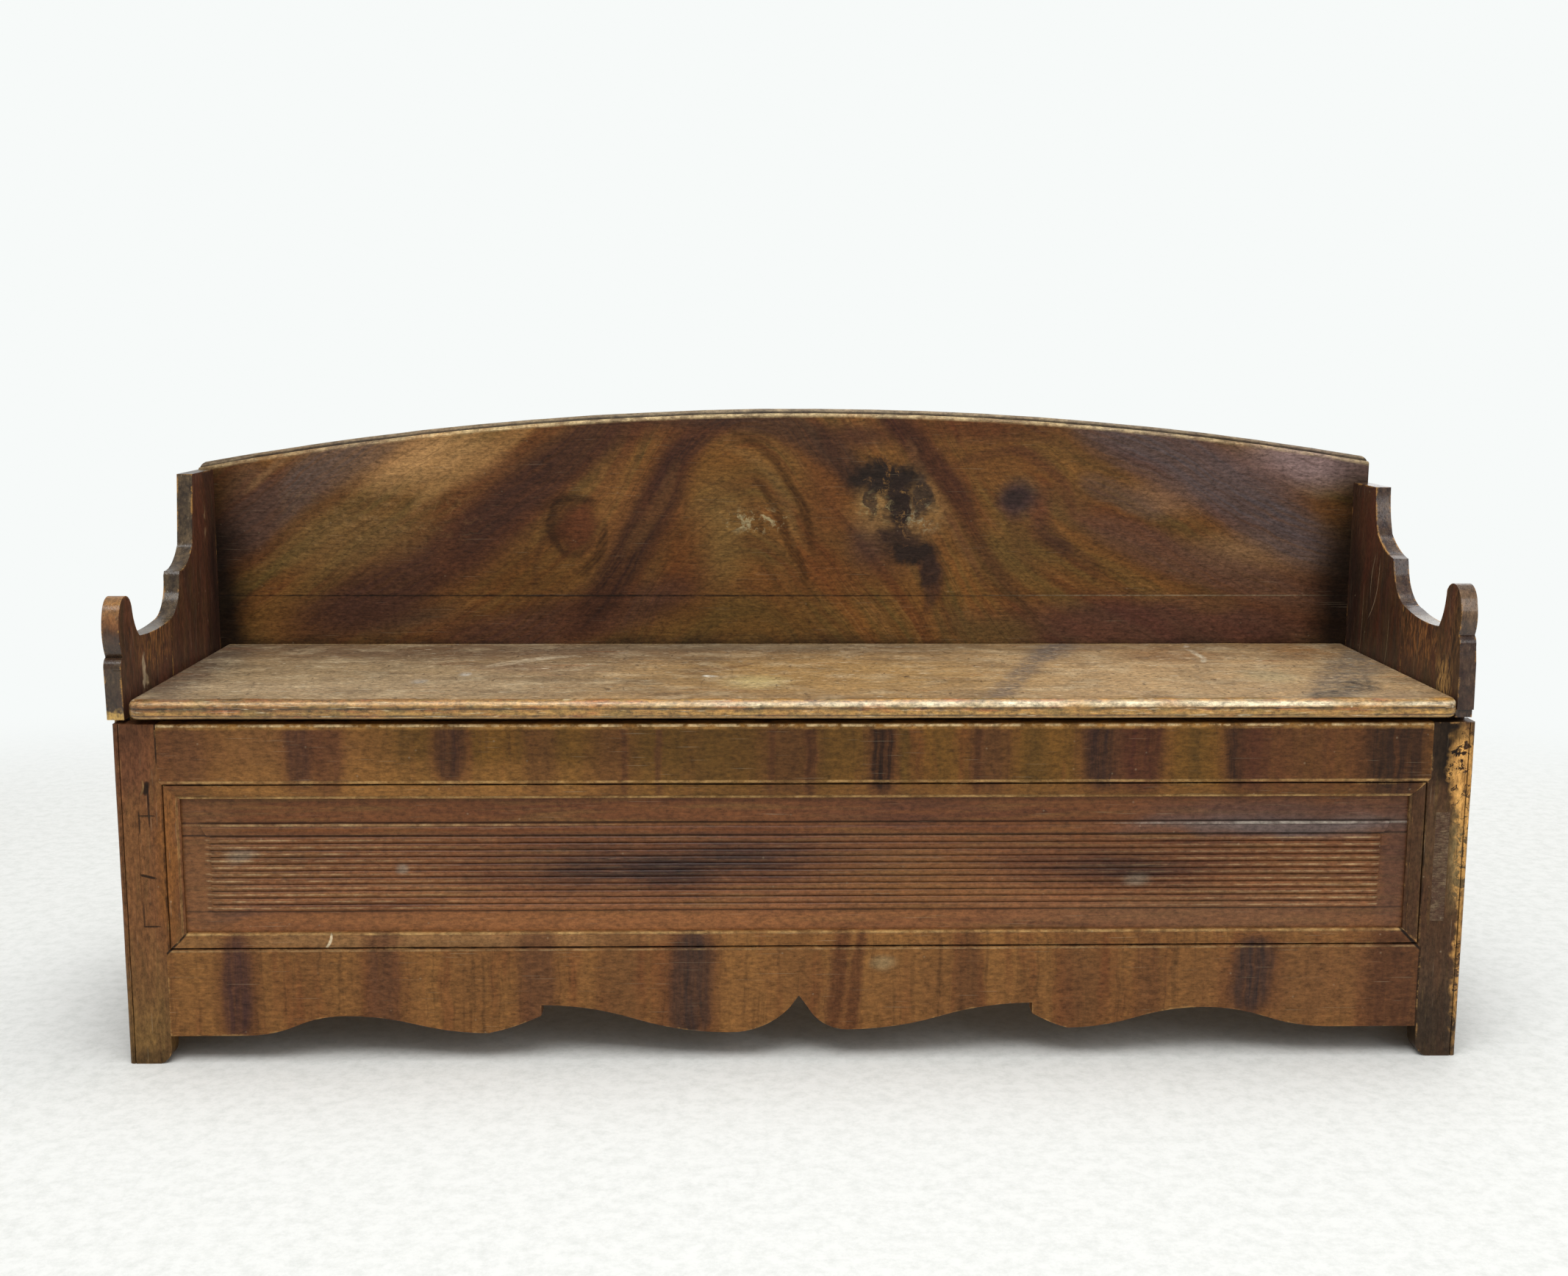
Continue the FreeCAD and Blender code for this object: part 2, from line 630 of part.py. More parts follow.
def apron_half(shape, side):
    """The scalloped edge's steps from the centre notch out to the shoulder."""
    eye = APRON_EYE_W / 2
    inner_x, inner_z = shape["inner_low"]
    outer_x, outer_z = shape["outer_low"]
    step = shape["step"]
    bow_x = eye + (inner_x - eye) * 0.35
    bow_z = inner_z + (APRON_EYE_SIDE_Z - inner_z) * 0.35
    lip_x = step + (outer_x - step) * 0.45
    lip_z = outer_z + (APRON_STEP_FOOT - outer_z) * 0.45
    steps = [
        in_front(side * eye, APRON_EYE_SIDE_Z),
        (in_front(side * bow_x, bow_z), in_front(side * inner_x, inner_z)),
    ]
    steps += ogee(shape["inner_low"], (step, APRON_STEP_TOP), side)
    steps += [
        in_front(side * step, APRON_STEP_FOOT),
        (in_front(side * lip_x, lip_z), in_front(side * outer_x, outer_z)),
    ]
    steps += ogee(shape["outer_low"], shape["crest"], side)
    steps += ogee(shape["crest"], shape["end"], side)
    steps.append(in_front(side * SHOULDER, shape["end"][1]))
    return steps


def backwards(start, steps):
    """The same steps walked from the last point to the start."""
    points = [start]
    for step in steps:
        points.append(step[1] if isinstance(step, tuple) else step)
    turned = []
    for index in range(len(steps) - 1, -1, -1):
        there = points[index]
        step = steps[index]
        turned.append((step[0], there) if isinstance(step, tuple) else there)
    return turned


def bottom_rail():
    steps = moulding(lambda width, depth: in_side(depth, LOW_SHOULDER_Z + width))
    section = outline(
        in_side(RAIL_T, 0),
        in_side(0, 0),
        *steps,
        in_side(GROOVE_FROM_FACE, OPEN_LOW),
        in_side(GROOVE_FROM_FACE, OPEN_LOW - GROOVE_D),
        in_side(GROOVE_BACK, OPEN_LOW - GROOVE_D),
        in_side(GROOVE_BACK, OPEN_LOW),
        in_side(RAIL_T, OPEN_LOW),
    )
    eye = in_front(0, APRON_EYE_Z)
    left_steps = backwards(eye, apron_half(LEFT_APRON, -1))
    left_end = in_front(-SHOULDER, LEFT_APRON["end"][1])
    keep = along_y(outline(
        left_end,
        *left_steps,
        *apron_half(RIGHT_APRON, 1),
        in_front(SHOULDER, LOW_SHOULDER_Z),
        in_front(OPEN_X, OPEN_LOW),
        in_front(-OPEN_X, OPEN_LOW),
        in_front(-SHOULDER, LOW_SHOULDER_Z),
    ), 0, RAIL_T)
    rail = along_x(section, -SHOULDER, SHOULDER).common(keep)
    return with_tenons(rail, low_tenon(0))


def sloped_ends(shape, half_length, low, high, top):
    """Cuts both ends of a raised strip back towards its crest, as a chisel leaves them."""
    face = GROOVE_FROM_FACE + JOINT_FIT
    for side in (-1, 1):
        cutter = outline(
            Vector(side * half_length, face, 0),
            Vector(side * (half_length - REED_END_SLOPE), top, 0),
            Vector(side * (half_length - REED_END_SLOPE), top - 1, 0),
            Vector(side * (half_length + 1), top - 1, 0),
            Vector(side * (half_length + 1), face, 0),
        )
        shape = shape.cut(along_z(cutter, low, high))
    return shape


def panel():
    """A thin board in the frame's grooves, with a raised field of reeds under a wide bead."""
    face = GROOVE_FROM_FACE + JOINT_FIT
    back = GROOVE_BACK - JOINT_FIT
    tongue = GROOVE_D - PANEL_PLAY
    slab = board(-OPEN_X - tongue, OPEN_X + tongue, face, back, OPEN_LOW - tongue, OPEN_HIGH + tongue)
    field_x = OPEN_X - FIELD_MARGIN_END
    field_low = OPEN_LOW + FIELD_MARGIN_LOW
    field_high = OPEN_HIGH - FIELD_MARGIN_TOP
    reeds_high = field_high - TOP_BEAD_H - TOP_FILLET_H
    pitch = (reeds_high - field_low) / REEDS
    valley = face - VALLEY_RISE
    crest = face - REED_RISE
    reeds = []
    for count in range(REEDS):
        z = field_low + count * pitch
        reeds.append((in_side(crest, z + pitch / 2), in_side(valley, z + pitch)))
    root = in_side(face + 1, field_low)
    strip = outline(root, in_side(valley, field_low), *reeds, in_side(face + 1, reeds_high))
    reeded = sloped_ends(along_x(strip, -field_x, field_x), field_x, field_low, reeds_high, crest)
    bead_high = reeds_high + TOP_BEAD_H
    bead = outline(
        in_side(face + 1, reeds_high),
        in_side(valley, reeds_high),
        (in_side(crest, (reeds_high + bead_high) / 2), in_side(valley, bead_high)),
        in_side(valley - VALLEY_RISE / 2, bead_high),
        in_side(valley - VALLEY_RISE / 2, field_high),
        in_side(face + 1, field_high),
    )
    long_x = field_x + TOP_MITRE
    mitre = along_y(outline(
        in_front(-field_x, reeds_high),
        in_front(-long_x, field_high),
        in_front(long_x, field_high),
        in_front(field_x, reeds_high),
    ), 0, face + 1)
    beaded = along_x(bead, -long_x, long_x).common(mitre)
    beaded = sloped_ends(beaded, long_x, reeds_high, field_high, crest)
    return slab.fuse([reeded, beaded]).removeSplitter()


def wedge():
    """A thin wedge driven askew into the end of the left through-tenon."""
    middle = SLAT_LEVEL + SIDE_H / 2
    half = WEDGE_T / 2
    tip = WEDGE_TIP / 2
    face = outline(
        in_side(0, half),
        in_side(0, -half),
        in_side(WEDGE_L, -tip),
        in_side(WEDGE_L, tip),
    )
    blade = along_x(face, -2 * SIDE_T, 2 * SIDE_T)
    blade.rotate(Vector(0, 0, 0), Vector(0, 1, 0), WEDGE_TILT)
    blade.translate(Vector(-(SIDE_IN + SIDE_OUT) / 2, 0, middle))
    return blade.common(mirrored(side_tenon(0)))


def pull_out_side():
    """The right side board of the bed, rounded at its rear corner and tenoned through the stile."""
    top = SLAT_LEVEL + SIDE_H
    diagonal = SIDE_CORNER_R * (1 - math.sqrt(0.5))
    face = outline(
        in_side(STILE_T, SLAT_LEVEL),
        in_side(SIDE_REAR, SLAT_LEVEL),
        in_side(SIDE_REAR, top - SIDE_CORNER_R),
        (in_side(SIDE_REAR - diagonal, top - diagonal), in_side(SIDE_REAR - SIDE_CORNER_R, top)),
        in_side(STILE_T, top),
    )
    return along_x(face, SIDE_IN, SIDE_OUT).fuse(side_tenon(0)).removeSplitter()


def pull_out_stop():
    """A block that meets the slat bearer when the bed is fully out."""
    block = board(SIDE_IN - STOP_T, SIDE_IN, STOP_FACE, SIDE_REAR,
                  SLAT_LEVEL - STOP_DROP, SLAT_LEVEL + STOP_LAP)
    top = SLAT_LEVEL + STOP_LAP
    return chamfered(block, SLAT_ARRIS * 2, lambda p: p.z > top - 1 and p.x < SIDE_IN - STOP_T + 1)


def make_front():
    save_pair("front_stile", stile(), FRAME_SHIFT)
    save("front_top_rail", top_rail(), FRAME_SHIFT)
    save("front_bottom_rail", bottom_rail(), FRAME_SHIFT)
    save("front_panel", panel(), FRAME_SHIFT)
    side = pull_out_side()
    left_wedge = wedge()
    save("left_pull_out_side", mirrored(side).cut(left_wedge), FRAME_SHIFT)
    save("left_tenon_wedge", left_wedge, FRAME_SHIFT)
    save("right_pull_out_side", side, FRAME_SHIFT)
    save_pair("pull_out_stop", pull_out_stop(), FRAME_SHIFT)


# Lid

def batten_tail(x, slack):
    """The dovetail of a batten, or its housing in the lid where there is slack."""
    neck = DOVETAIL_NECK / 2 + slack
    tail = DOVETAIL_W / 2 + slack
    face = outline(
        in_front(x - neck, LID_Z),
        in_front(x - tail, LID_Z + DOVETAIL_D + slack),
        in_front(x + tail, LID_Z + DOVETAIL_D + slack),
        in_front(x + neck, LID_Z),
    )
    return along_y(face, BATTEN_FRONT - slack, BACK_FACE - LID_BACK_GAP)


def batten(x):
    """A batten that slides into the lid from its rear edge and stops short of the rear cleat."""
    rear = BACK_FACE - REAR_CLEAT_W - BATTEN_REAR_GAP
    low = LID_Z - CLEAT_H
    bar = board(x - BATTEN_W / 2, x + BATTEN_W / 2, BATTEN_FRONT, rear, low, LID_Z)
    bar = chamfered(bar, BATTEN_CHAMFER,
                    lambda p: p.z < low + 1 and (p.y < BATTEN_FRONT + 1 or p.y > rear - 1))
    return bar.fuse(batten_tail(x, 0))


def lid():
    front = -LID_OVERHANG
    rear = BACK_FACE - LID_BACK_GAP
    blank = board(-END_IN + LID_LEFT_GAP, END_IN - LID_RIGHT_GAP, front, rear, LID_Z, SEAT_TOP)
    corners = [e for e in blank.Edges if e.CenterOfMass.y < front + 1 and abs(e.tangentAt(0).z) > 0.9]
    blank = blank.makeFillet(LID_CORNER_R, corners)
    nose_front = front + LID_CORNER_R
    top_nose = [e for e in blank.Edges
                if e.CenterOfMass.z > SEAT_TOP - 0.1 and e.CenterOfMass.y < nose_front - 1]
    blank = blank.makeFillet(LID_NOSE_R, top_nose)
    under_nose = [e for e in blank.Edges
                  if e.CenterOfMass.z < LID_Z + 0.1 and e.CenterOfMass.y < nose_front - 1]
    blank = blank.makeFillet(LID_UNDER_R, under_nose)
    for x in (-BATTEN_SPACING / 2, BATTEN_SPACING / 2):
        blank = blank.cut(batten_tail(x, JOINT_FIT))
    return blank


def make_lid():
    save("lid_board", lid())
    save_pair("lid_batten", batten(BATTEN_SPACING / 2))


os.makedirs("parts", exist_ok=True)
make_ends()
make_back()
make_cleats()
make_runners_and_ledges()
make_slats()
make_front()
make_lid()
print("pull-out travel in mm:", round(PULL_TRAVEL, 2))
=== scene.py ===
import json
import math

import bmesh
import bpy
from mathutils import Matrix, Vector

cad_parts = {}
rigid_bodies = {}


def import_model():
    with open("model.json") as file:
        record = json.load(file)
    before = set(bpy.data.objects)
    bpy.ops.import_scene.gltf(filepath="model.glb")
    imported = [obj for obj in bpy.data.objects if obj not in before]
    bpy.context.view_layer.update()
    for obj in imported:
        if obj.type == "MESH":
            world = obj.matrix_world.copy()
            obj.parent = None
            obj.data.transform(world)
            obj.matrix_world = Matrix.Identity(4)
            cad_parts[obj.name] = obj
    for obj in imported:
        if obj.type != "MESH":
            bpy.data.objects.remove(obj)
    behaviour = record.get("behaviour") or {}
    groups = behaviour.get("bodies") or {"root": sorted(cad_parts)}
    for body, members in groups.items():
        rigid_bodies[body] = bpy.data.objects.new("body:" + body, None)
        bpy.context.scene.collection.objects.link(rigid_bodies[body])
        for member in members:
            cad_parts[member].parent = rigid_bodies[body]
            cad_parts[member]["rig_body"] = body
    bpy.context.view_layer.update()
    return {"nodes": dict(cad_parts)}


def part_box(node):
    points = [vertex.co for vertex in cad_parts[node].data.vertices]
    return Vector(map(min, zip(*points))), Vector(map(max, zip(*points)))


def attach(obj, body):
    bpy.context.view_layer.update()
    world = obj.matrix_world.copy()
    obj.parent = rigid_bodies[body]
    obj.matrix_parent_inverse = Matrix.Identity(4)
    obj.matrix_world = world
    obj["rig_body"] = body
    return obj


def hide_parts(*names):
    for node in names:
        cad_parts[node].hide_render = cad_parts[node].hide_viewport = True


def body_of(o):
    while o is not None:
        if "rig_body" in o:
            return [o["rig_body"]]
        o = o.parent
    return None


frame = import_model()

cad = frame["nodes"]

# Places in the paint are in millimetres of the row frame: x to the right, y to the back and z up, seen from the front.
MM = 0.001


def linear(hex_colour):
    """An sRGB hex colour as linear RGBA."""
    parts = [int(hex_colour[i:i + 2], 16) / 255 for i in (1, 3, 5)]
    return [c / 12.92 if c <= 0.04045 else ((c + 0.055) / 1.055) ** 2.4 for c in parts] + [1.0]


def add(tree, kind, inputs=None, **settings):
    """One node. A socket given as an input is linked, and so is a node, by its first output. A hex colour is turned
    linear, and the rest are values."""
    made = tree.nodes.new(kind if kind.startswith("NodeGroup") else "ShaderNode" + kind)
    for name, value in settings.items():
        setattr(made, name, value)
    for name, value in (inputs or {}).items():
        if isinstance(value, bpy.types.Node):
            value = value.outputs[0]
        if isinstance(value, bpy.types.NodeSocket):
            tree.links.new(value, made.inputs[name])
        else:
            made.inputs[name].default_value = linear(value) if isinstance(value, str) else value
    return made


# ---- pattern groups that the finishes share ----


def new_group(name, inputs, outputs):
    """An empty node group with its sockets; returns it and what it is given."""
    group = bpy.data.node_groups.new(name, "ShaderNodeTree")
    for label, kind, value in inputs:
        socket = group.interface.new_socket(label, in_out="INPUT", socket_type="NodeSocket" + kind)
        if value is not None:
            socket.default_value = value
    for label in outputs:
        group.interface.new_socket(label, in_out="OUTPUT", socket_type="NodeSocketFloat")
    return group, add(group, "NodeGroupInput").outputs


def make_brush_stroke():
    """One pull of the graining brush: a bent lens in the xz plane, full along its middle and soft at its edge. The
    fringe is the thinner glaze that creeps out past the edge."""
    group, given = new_group(
        "brush stroke",
        [("Place", "Vector", None), ("Centre", "Vector", None), ("Turn", "Float", 0.0), ("Half length", "Float", 100.0),
         ("Half width", "Float", 10.0), ("Bend", "Float", 0.0), ("Outer", "Float", 1.4), ("Inner", "Float", 0.4)],
        ["Mask", "Fringe"])
    offset = add(group, "VectorMath", {0: given["Place"], 1: given["Centre"]}, operation="SUBTRACT")
    turned = add(group, "VectorRotate", {"Vector": offset, "Angle": given["Turn"]}, rotation_type="Y_AXIS")
    split = add(group, "SeparateXYZ", {0: turned})
    along = add(group, "Math", {0: split.outputs["X"], 1: given["Half length"]}, operation="DIVIDE")
    square = add(group, "Math", {0: along, 1: along}, operation="MULTIPLY")
    rise = add(group, "Math", {0: square, 1: given["Bend"]}, operation="MULTIPLY")
    line = add(group, "Math", {0: split.outputs["Z"], 1: rise}, operation="SUBTRACT")
    across = add(group, "Math", {0: line, 1: given["Half width"]}, operation="DIVIDE")
    width = add(group, "Math", {0: across, 1: across}, operation="MULTIPLY")
    reach = add(group, "Math", {0: square, 1: square, 2: width}, operation="MULTIPLY_ADD")
    mask = add(group, "MapRange", {"Value": reach, "From Min": given["Outer"], "From Max": given["Inner"]},
               interpolation_type="SMOOTHSTEP")
    spread = add(group, "Math", {0: given["Outer"], 1: 2.2}, operation="MULTIPLY")
    fringe = add(group, "MapRange", {"Value": reach, "From Min": spread, "From Max": given["Inner"]},
                 interpolation_type="SMOOTHSTEP")
    add(group, "NodeGroupOutput", {"Mask": mask, "Fringe": fringe})
    return group


def make_soft_patch():
    """A round or long patch: full inside Inner and gone past Outer, which are shares of its radii."""
    group, given = new_group(
        "soft patch",
        [("Place", "Vector", None), ("Centre", "Vector", None), ("Radii", "Vector", (10.0, 10.0, 10.0)),
         ("Outer", "Float", 1.3), ("Inner", "Float", 0.5)],
        ["Mask"])
    offset = add(group, "VectorMath", {0: given["Place"], 1: given["Centre"]}, operation="SUBTRACT")
    share = add(group, "VectorMath", {0: offset, 1: given["Radii"]}, operation="DIVIDE")
    reach = add(group, "VectorMath", {0: share}, operation="LENGTH")
    mask = add(group, "MapRange", {"Value": reach.outputs["Value"], "From Min": given["Outer"],
                                   "From Max": given["Inner"]}, interpolation_type="SMOOTHSTEP")
    add(group, "NodeGroupOutput", {"Mask": mask})
    return group


def make_pine_grain():
    """Pine as it shows through paint, grain along X. Fibre runs over the given length and spacing, growth bands are
    14 mm apart, pores are dark dashes of 1.6 by 12 mm, and specks 5 by 9 mm and finer: all coarser than real, so that
    they show."""
    group, given = new_group("pine grain", [("Place", "Vector", None), ("Fibre size", "Vector", (90.0, 3.0, 3.0))],
                             ["Fibre", "Band", "Pore", "Speck"])
    wander = add(group, "TexNoise", {"Vector": given["Place"], "Scale": 1 / 160, "Detail": 1.0})
    sway = add(group, "VectorMath", {0: wander.outputs["Color"], 1: (0.0, 14.0, 14.0), 2: given["Place"]},
               operation="MULTIPLY_ADD")
    fine = add(group, "VectorMath", {0: sway, 1: given["Fibre size"]}, operation="DIVIDE")
    fibre = add(group, "TexNoise", {"Vector": fine, "Scale": 1.0, "Detail": 3.0, "Roughness": 0.7})
    wide = add(group, "VectorMath", {0: sway, 1: (1 / 600, 1 / 14, 1 / 14)}, operation="MULTIPLY")
    band = add(group, "TexNoise", {"Vector": wide, "Scale": 1.0, "Detail": 2.0})
    dash = add(group, "VectorMath", {0: given["Place"], 1: (1 / 12, 1 / 1.6, 1 / 1.6)}, operation="MULTIPLY")
    dots = add(group, "TexNoise", {"Vector": dash, "Scale": 1.0, "Detail": 1.0})
    pore = add(group, "MapRange", {"Value": dots, "From Min": 0.62, "From Max": 0.74})
    flat_specks = add(group, "VectorMath", {0: given["Place"], 1: (1 / 9, 1 / 5, 1 / 5)}, operation="MULTIPLY")
    speck = add(group, "TexNoise", {"Vector": flat_specks, "Scale": 1.0, "Detail": 3.0, "Roughness": 0.8})
    add(group, "NodeGroupOutput", {"Fibre": fibre, "Band": band, "Pore": pore, "Speck": speck})
    return group


def make_handling():
    """Long use: arrises rubbed bare in stretches, dirt and painted shade in the quirks, scratches two ways and small
    flecks.
    """
    group, given = new_group("handling", [("Place", "Vector", None), ("Rub", "Float", 0.5)],
                             ["Rubbed", "Dirt and shade", "Scratch", "Fleck"])
    arris = add(group, "AmbientOcclusion", {"Distance": 4 * MM}, inside=True, only_local=True, samples=6)
    near = add(group, "Math", {0: 1.0, 1: arris.outputs["AO"]}, operation="SUBTRACT")
    stretches = add(group, "TexNoise", {"Vector": given["Place"], "Scale": 1 / 45, "Detail": 5.0, "Roughness": 0.8})
    chance = add(group, "Math", {0: given["Rub"], 1: stretches}, operation="ADD")
    often = add(group, "MapRange", {"Value": chance, "From Min": 0.82, "From Max": 1.05, "To Max": 1.3})
    worn = add(group, "Math", {0: near, 1: often}, operation="MULTIPLY")
    rubbed = add(group, "MapRange", {"Value": worn, "From Min": 0.10, "From Max": 0.32},
                 interpolation_type="SMOOTHSTEP")
    # The quirks darkened by ambient occlusion: dirt and painted shade.
    hollow = add(group, "AmbientOcclusion", {"Distance": 6 * MM}, only_local=True, samples=6)
    dirt_and_shade = add(group, "MapRange", {"Value": hollow.outputs["AO"], "From Min": 0.88, "From Max": 0.40})
    scratch = None
    for turn, apart in (((0.0, 0.35, 0.1), 0.0), ((0.5, -1.0, -0.7), 300.0)):
        slant = add(group, "Mapping", {"Vector": given["Place"], "Rotation": turn, "Location": (apart,) * 3,
                                       "Scale": (1 / 70, 1 / 1.6, 1 / 1.6)})
        lines = add(group, "TexNoise", {"Vector": slant, "Scale": 1.0, "Detail": 1.0})
        cut = add(group, "MapRange", {"Value": lines, "From Min": 0.73, "From Max": 0.78})
        scratch = cut if scratch is None else add(group, "Math", {0: scratch, 1: cut}, operation="MAXIMUM")
    cells = add(group, "TexVoronoi", {"Vector": given["Place"], "Scale": 1 / 30})
    fleck = add(group, "MapRange", {"Value": cells.outputs["Distance"], "From Min": 0.06, "From Max": 0.03})
    add(group, "NodeGroupOutput", {"Rubbed": rubbed, "Dirt and shade": dirt_and_shade, "Scratch": scratch, "Fleck": fleck})
    return group


BRUSH_STROKE = make_brush_stroke()
SOFT_PATCH = make_soft_patch()
PINE_GRAIN = make_pine_grain()
HANDLING = make_handling()


def new_material(name):
    """A material with an empty tree, and the surface's place in millimetres."""
    material = bpy.data.materials.new(name)
    material.use_nodes = True
    tree = material.node_tree
    tree.nodes.clear()
    where = add(tree, "TexCoord")
    place = add(tree, "VectorMath", {0: where.outputs["Object"], "Scale": 1 / MM}, operation="SCALE")
    return material, tree, place


def wavering(tree, place, amount, size):
    """The place pushed up to amount by noise of that size, so that outlines run as a hand leaves them."""
    noise = add(tree, "TexNoise", {"Vector": place, "Scale": 1 / size, "Detail": 2.0})
    centred = add(tree, "VectorMath", {0: noise.outputs["Color"], 1: (0.5, 0.5, 0.5)}, operation="SUBTRACT")
    return add(tree, "VectorMath", {0: centred, 1: (4 * amount,) * 3, 2: place}, operation="MULTIPLY_ADD")


def glaze_over(tree, ground, glaze, mask, strength=1.0):
    """A glaze colour over a ground where the mask is, with at most that strength."""
    if strength != 1.0:
        mask = add(tree, "Math", {0: mask, 1: strength}, operation="MULTIPLY")
    return add(tree, "Mix", {0: mask, 6: ground, 7: glaze}, data_type="RGBA").outputs[2]


def brush(tree, place, ground, strokes, lift=None, fringe=None):
    """Brush strokes over a ground: (glaze, (x, z) of the middle, turn in degrees, half length, half width, bend,
    softness, strength). lift thins them along the brush hairs, and fringe colours the glaze that creeps out."""
    for glaze, (x, z), turn, half_length, half_width, bend, soft, strength in strokes:
        stroke = add(tree, "Group", {"Place": place, "Centre": (x, 0.0, z), "Turn": math.radians(turn),
                                     "Half length": half_length, "Half width": half_width, "Bend": bend,
                                     "Outer": (1 + soft) ** 2, "Inner": (1 - soft) ** 2}, node_tree=BRUSH_STROKE)
        if fringe is not None:
            ground = glaze_over(tree, ground, fringe, stroke.outputs["Fringe"], 0.7 * strength)
        mask = stroke.outputs["Mask"]
        if lift is not None:
            mask = add(tree, "Math", {0: mask, 1: lift}, operation="MULTIPLY")
        ground = glaze_over(tree, ground, glaze, mask, strength)
    return ground


def dab(tree, place, ground, dabs, lift=None):
    """Soft patches over a ground: (glaze, middle, radii, softness, strength). Middle and radii are x, y and z, or x and
    z for a patch right through the board. A radius of FAR has no edge."""
    for glaze, centre, radii, soft, strength in dabs:
        if len(centre) == 2:
            centre, radii = (centre[0], 0.0, centre[1]), (radii[0], FAR, radii[1])
        patch = add(tree, "Group", {"Place": place, "Centre": centre, "Radii": radii, "Outer": 1 + soft,
                                    "Inner": 1 - soft}, node_tree=SOFT_PATCH)
        mask = patch
        if lift is not None:
            mask = add(tree, "Math", {0: mask, 1: lift}, operation="MULTIPLY")
        ground = glaze_over(tree, ground, glaze, mask, strength)
    return ground


def broken(tree, place, size, least):
    """A factor that comes and goes over that size, from least to 1, for lines that are worn away in places."""
    noise = add(tree, "TexNoise", {"Vector": place, "Scale": 1 / size, "Detail": 4.0, "Roughness": 0.7})
    return add(tree, "MapRange", {"Value": noise, "From Min": 0.42, "From Max": 0.58, "To Min": least})


def streaks(tree, along, across, length, width, shift, low, high, least=0.0):
    """Noise drawn out along a grain line, about that long and wide in mm, from least to 1 between low and high."""
    point = add(tree, "CombineXYZ", {"X": along, "Y": 40.0 * shift, "Z": across})
    drawn = add(tree, "VectorMath", {0: point, 1: (1 / length, 0.1, 1 / width)}, operation="MULTIPLY")
    noise = add(tree, "TexNoise", {"Vector": drawn, "Scale": 1.0, "Detail": 3.0, "Roughness": 0.6})
    return add(tree, "MapRange", {"Value": noise, "From Min": low, "From Max": high, "To Min": least})


# Places on the bench that the paint follows, in mm.
FAR = 100000.0
ARCH_RADIUS = 5200.0
ARCH_APEX = (34.25, 856.0)  # x and z
BACK_FRONT = 219.5  # y of the back planks' front
INSIDE_BOX = 875.0  # an end's inner face lies nearer to the middle than this, and its outer face further
BARE_FROM, BARE_TO = 464.0, 458.0  # the paint stops between these heights, just below the seat
BARE_WOOD = "#86683f"
REEDS = 11
REEDS_FROM, REEDS_TO = 207.5, 309.0  # z of the lowest and the highest valley


def finish_wood(tree, place, colour, along="X", length=60.0, spacing=2.6, fibre=0.12, speck=0.30, rub=0.35,
                bare="#a98456", dirt_and_shade=0.75, roughness=0.46, specular=0.14, marks="#b3a184", scratched=0.3, bump=0.3,
                pores=0.4):
    """Grain, pores, rubbed arrises, dirt and painted shade in the hollows, and scratches over a painted or bare colour,
    and the shader.
    """
    run = place
    if along == "Z":
        run = add(tree, "VectorRotate", {"Vector": place, "Angle": math.radians(90)}, rotation_type="Y_AXIS")
    elif along == "Y":
        run = add(tree, "VectorRotate", {"Vector": place, "Angle": math.radians(90)}, rotation_type="Z_AXIS")
    grain = add(tree, "Group", {"Place": run, "Fibre size": (length, spacing, spacing)}, node_tree=PINE_GRAIN).outputs
    handled = add(tree, "Group", {"Place": run, "Rub": rub}, node_tree=HANDLING).outputs
    shade = add(tree, "MapRange", {"Value": grain["Fibre"], "From Min": 0.3, "From Max": 0.7, "To Min": 1 - fibre,
                                   "To Max": 1 + fibre})
    swell = add(tree, "MapRange", {"Value": grain["Band"], "From Min": 0.3, "From Max": 0.7, "To Min": 1 - 0.4 * fibre,
                                   "To Max": 1 + 0.4 * fibre})
    dust = add(tree, "MapRange", {"Value": grain["Speck"], "From Min": 0.3, "From Max": 0.7, "To Min": 1 - speck,
                                  "To Max": 1 + speck})
    level = add(tree, "Math", {0: shade, 1: swell}, operation="MULTIPLY")
    level = add(tree, "Math", {0: level, 1: dust}, operation="MULTIPLY")
    grained = add(tree, "VectorMath", {0: colour, "Scale": level}, operation="SCALE")
    grained = glaze_over(tree, grained, "#1c120b", grain["Pore"], pores)
    grained = glaze_over(tree, grained, marks, handled["Scratch"], scratched)
    grained = glaze_over(tree, grained, marks, handled["Fleck"], scratched)
    grained = glaze_over(tree, grained, bare, handled["Rubbed"], 0.85)
    # Dirt and painted shade in the hollows.
    grained = glaze_over(tree, grained, "#140d08", handled["Dirt and shade"], dirt_and_shade)
    sheen = add(tree, "MapRange", {"Value": grain["Band"], "From Min": 0.3, "From Max": 0.7, "To Min": -0.07,
                                   "To Max": 0.07})
    rough = add(tree, "Math", {0: sheen, 1: roughness}, operation="ADD")
    dry = add(tree, "Math", {0: handled["Rubbed"], 1: 0.2, 2: rough}, operation="MULTIPLY_ADD")
    height = add(tree, "Math", {0: grain["Pore"], 1: -0.5, 2: grain["Fibre"]}, operation="MULTIPLY_ADD")
    sunk = add(tree, "Math", {0: handled["Scratch"], 1: -0.5, 2: height}, operation="MULTIPLY_ADD")
    relief = add(tree, "Bump", {"Height": sunk, "Strength": bump, "Distance": 0.8 * MM})
    shader = add(tree, "BsdfPrincipled", {"Base Color": grained, "Roughness": dry, "Specular IOR Level": specular,
                                          "Normal": relief})
    add(tree, "OutputMaterial", {"Surface": shader})


# Oil paint on pine, grained by brush in a thin dark glaze over an ochre ground, and varnished: broad soft bands with
# hair lines in them, a satin sheen, and wood rubbed bare on the arrises.


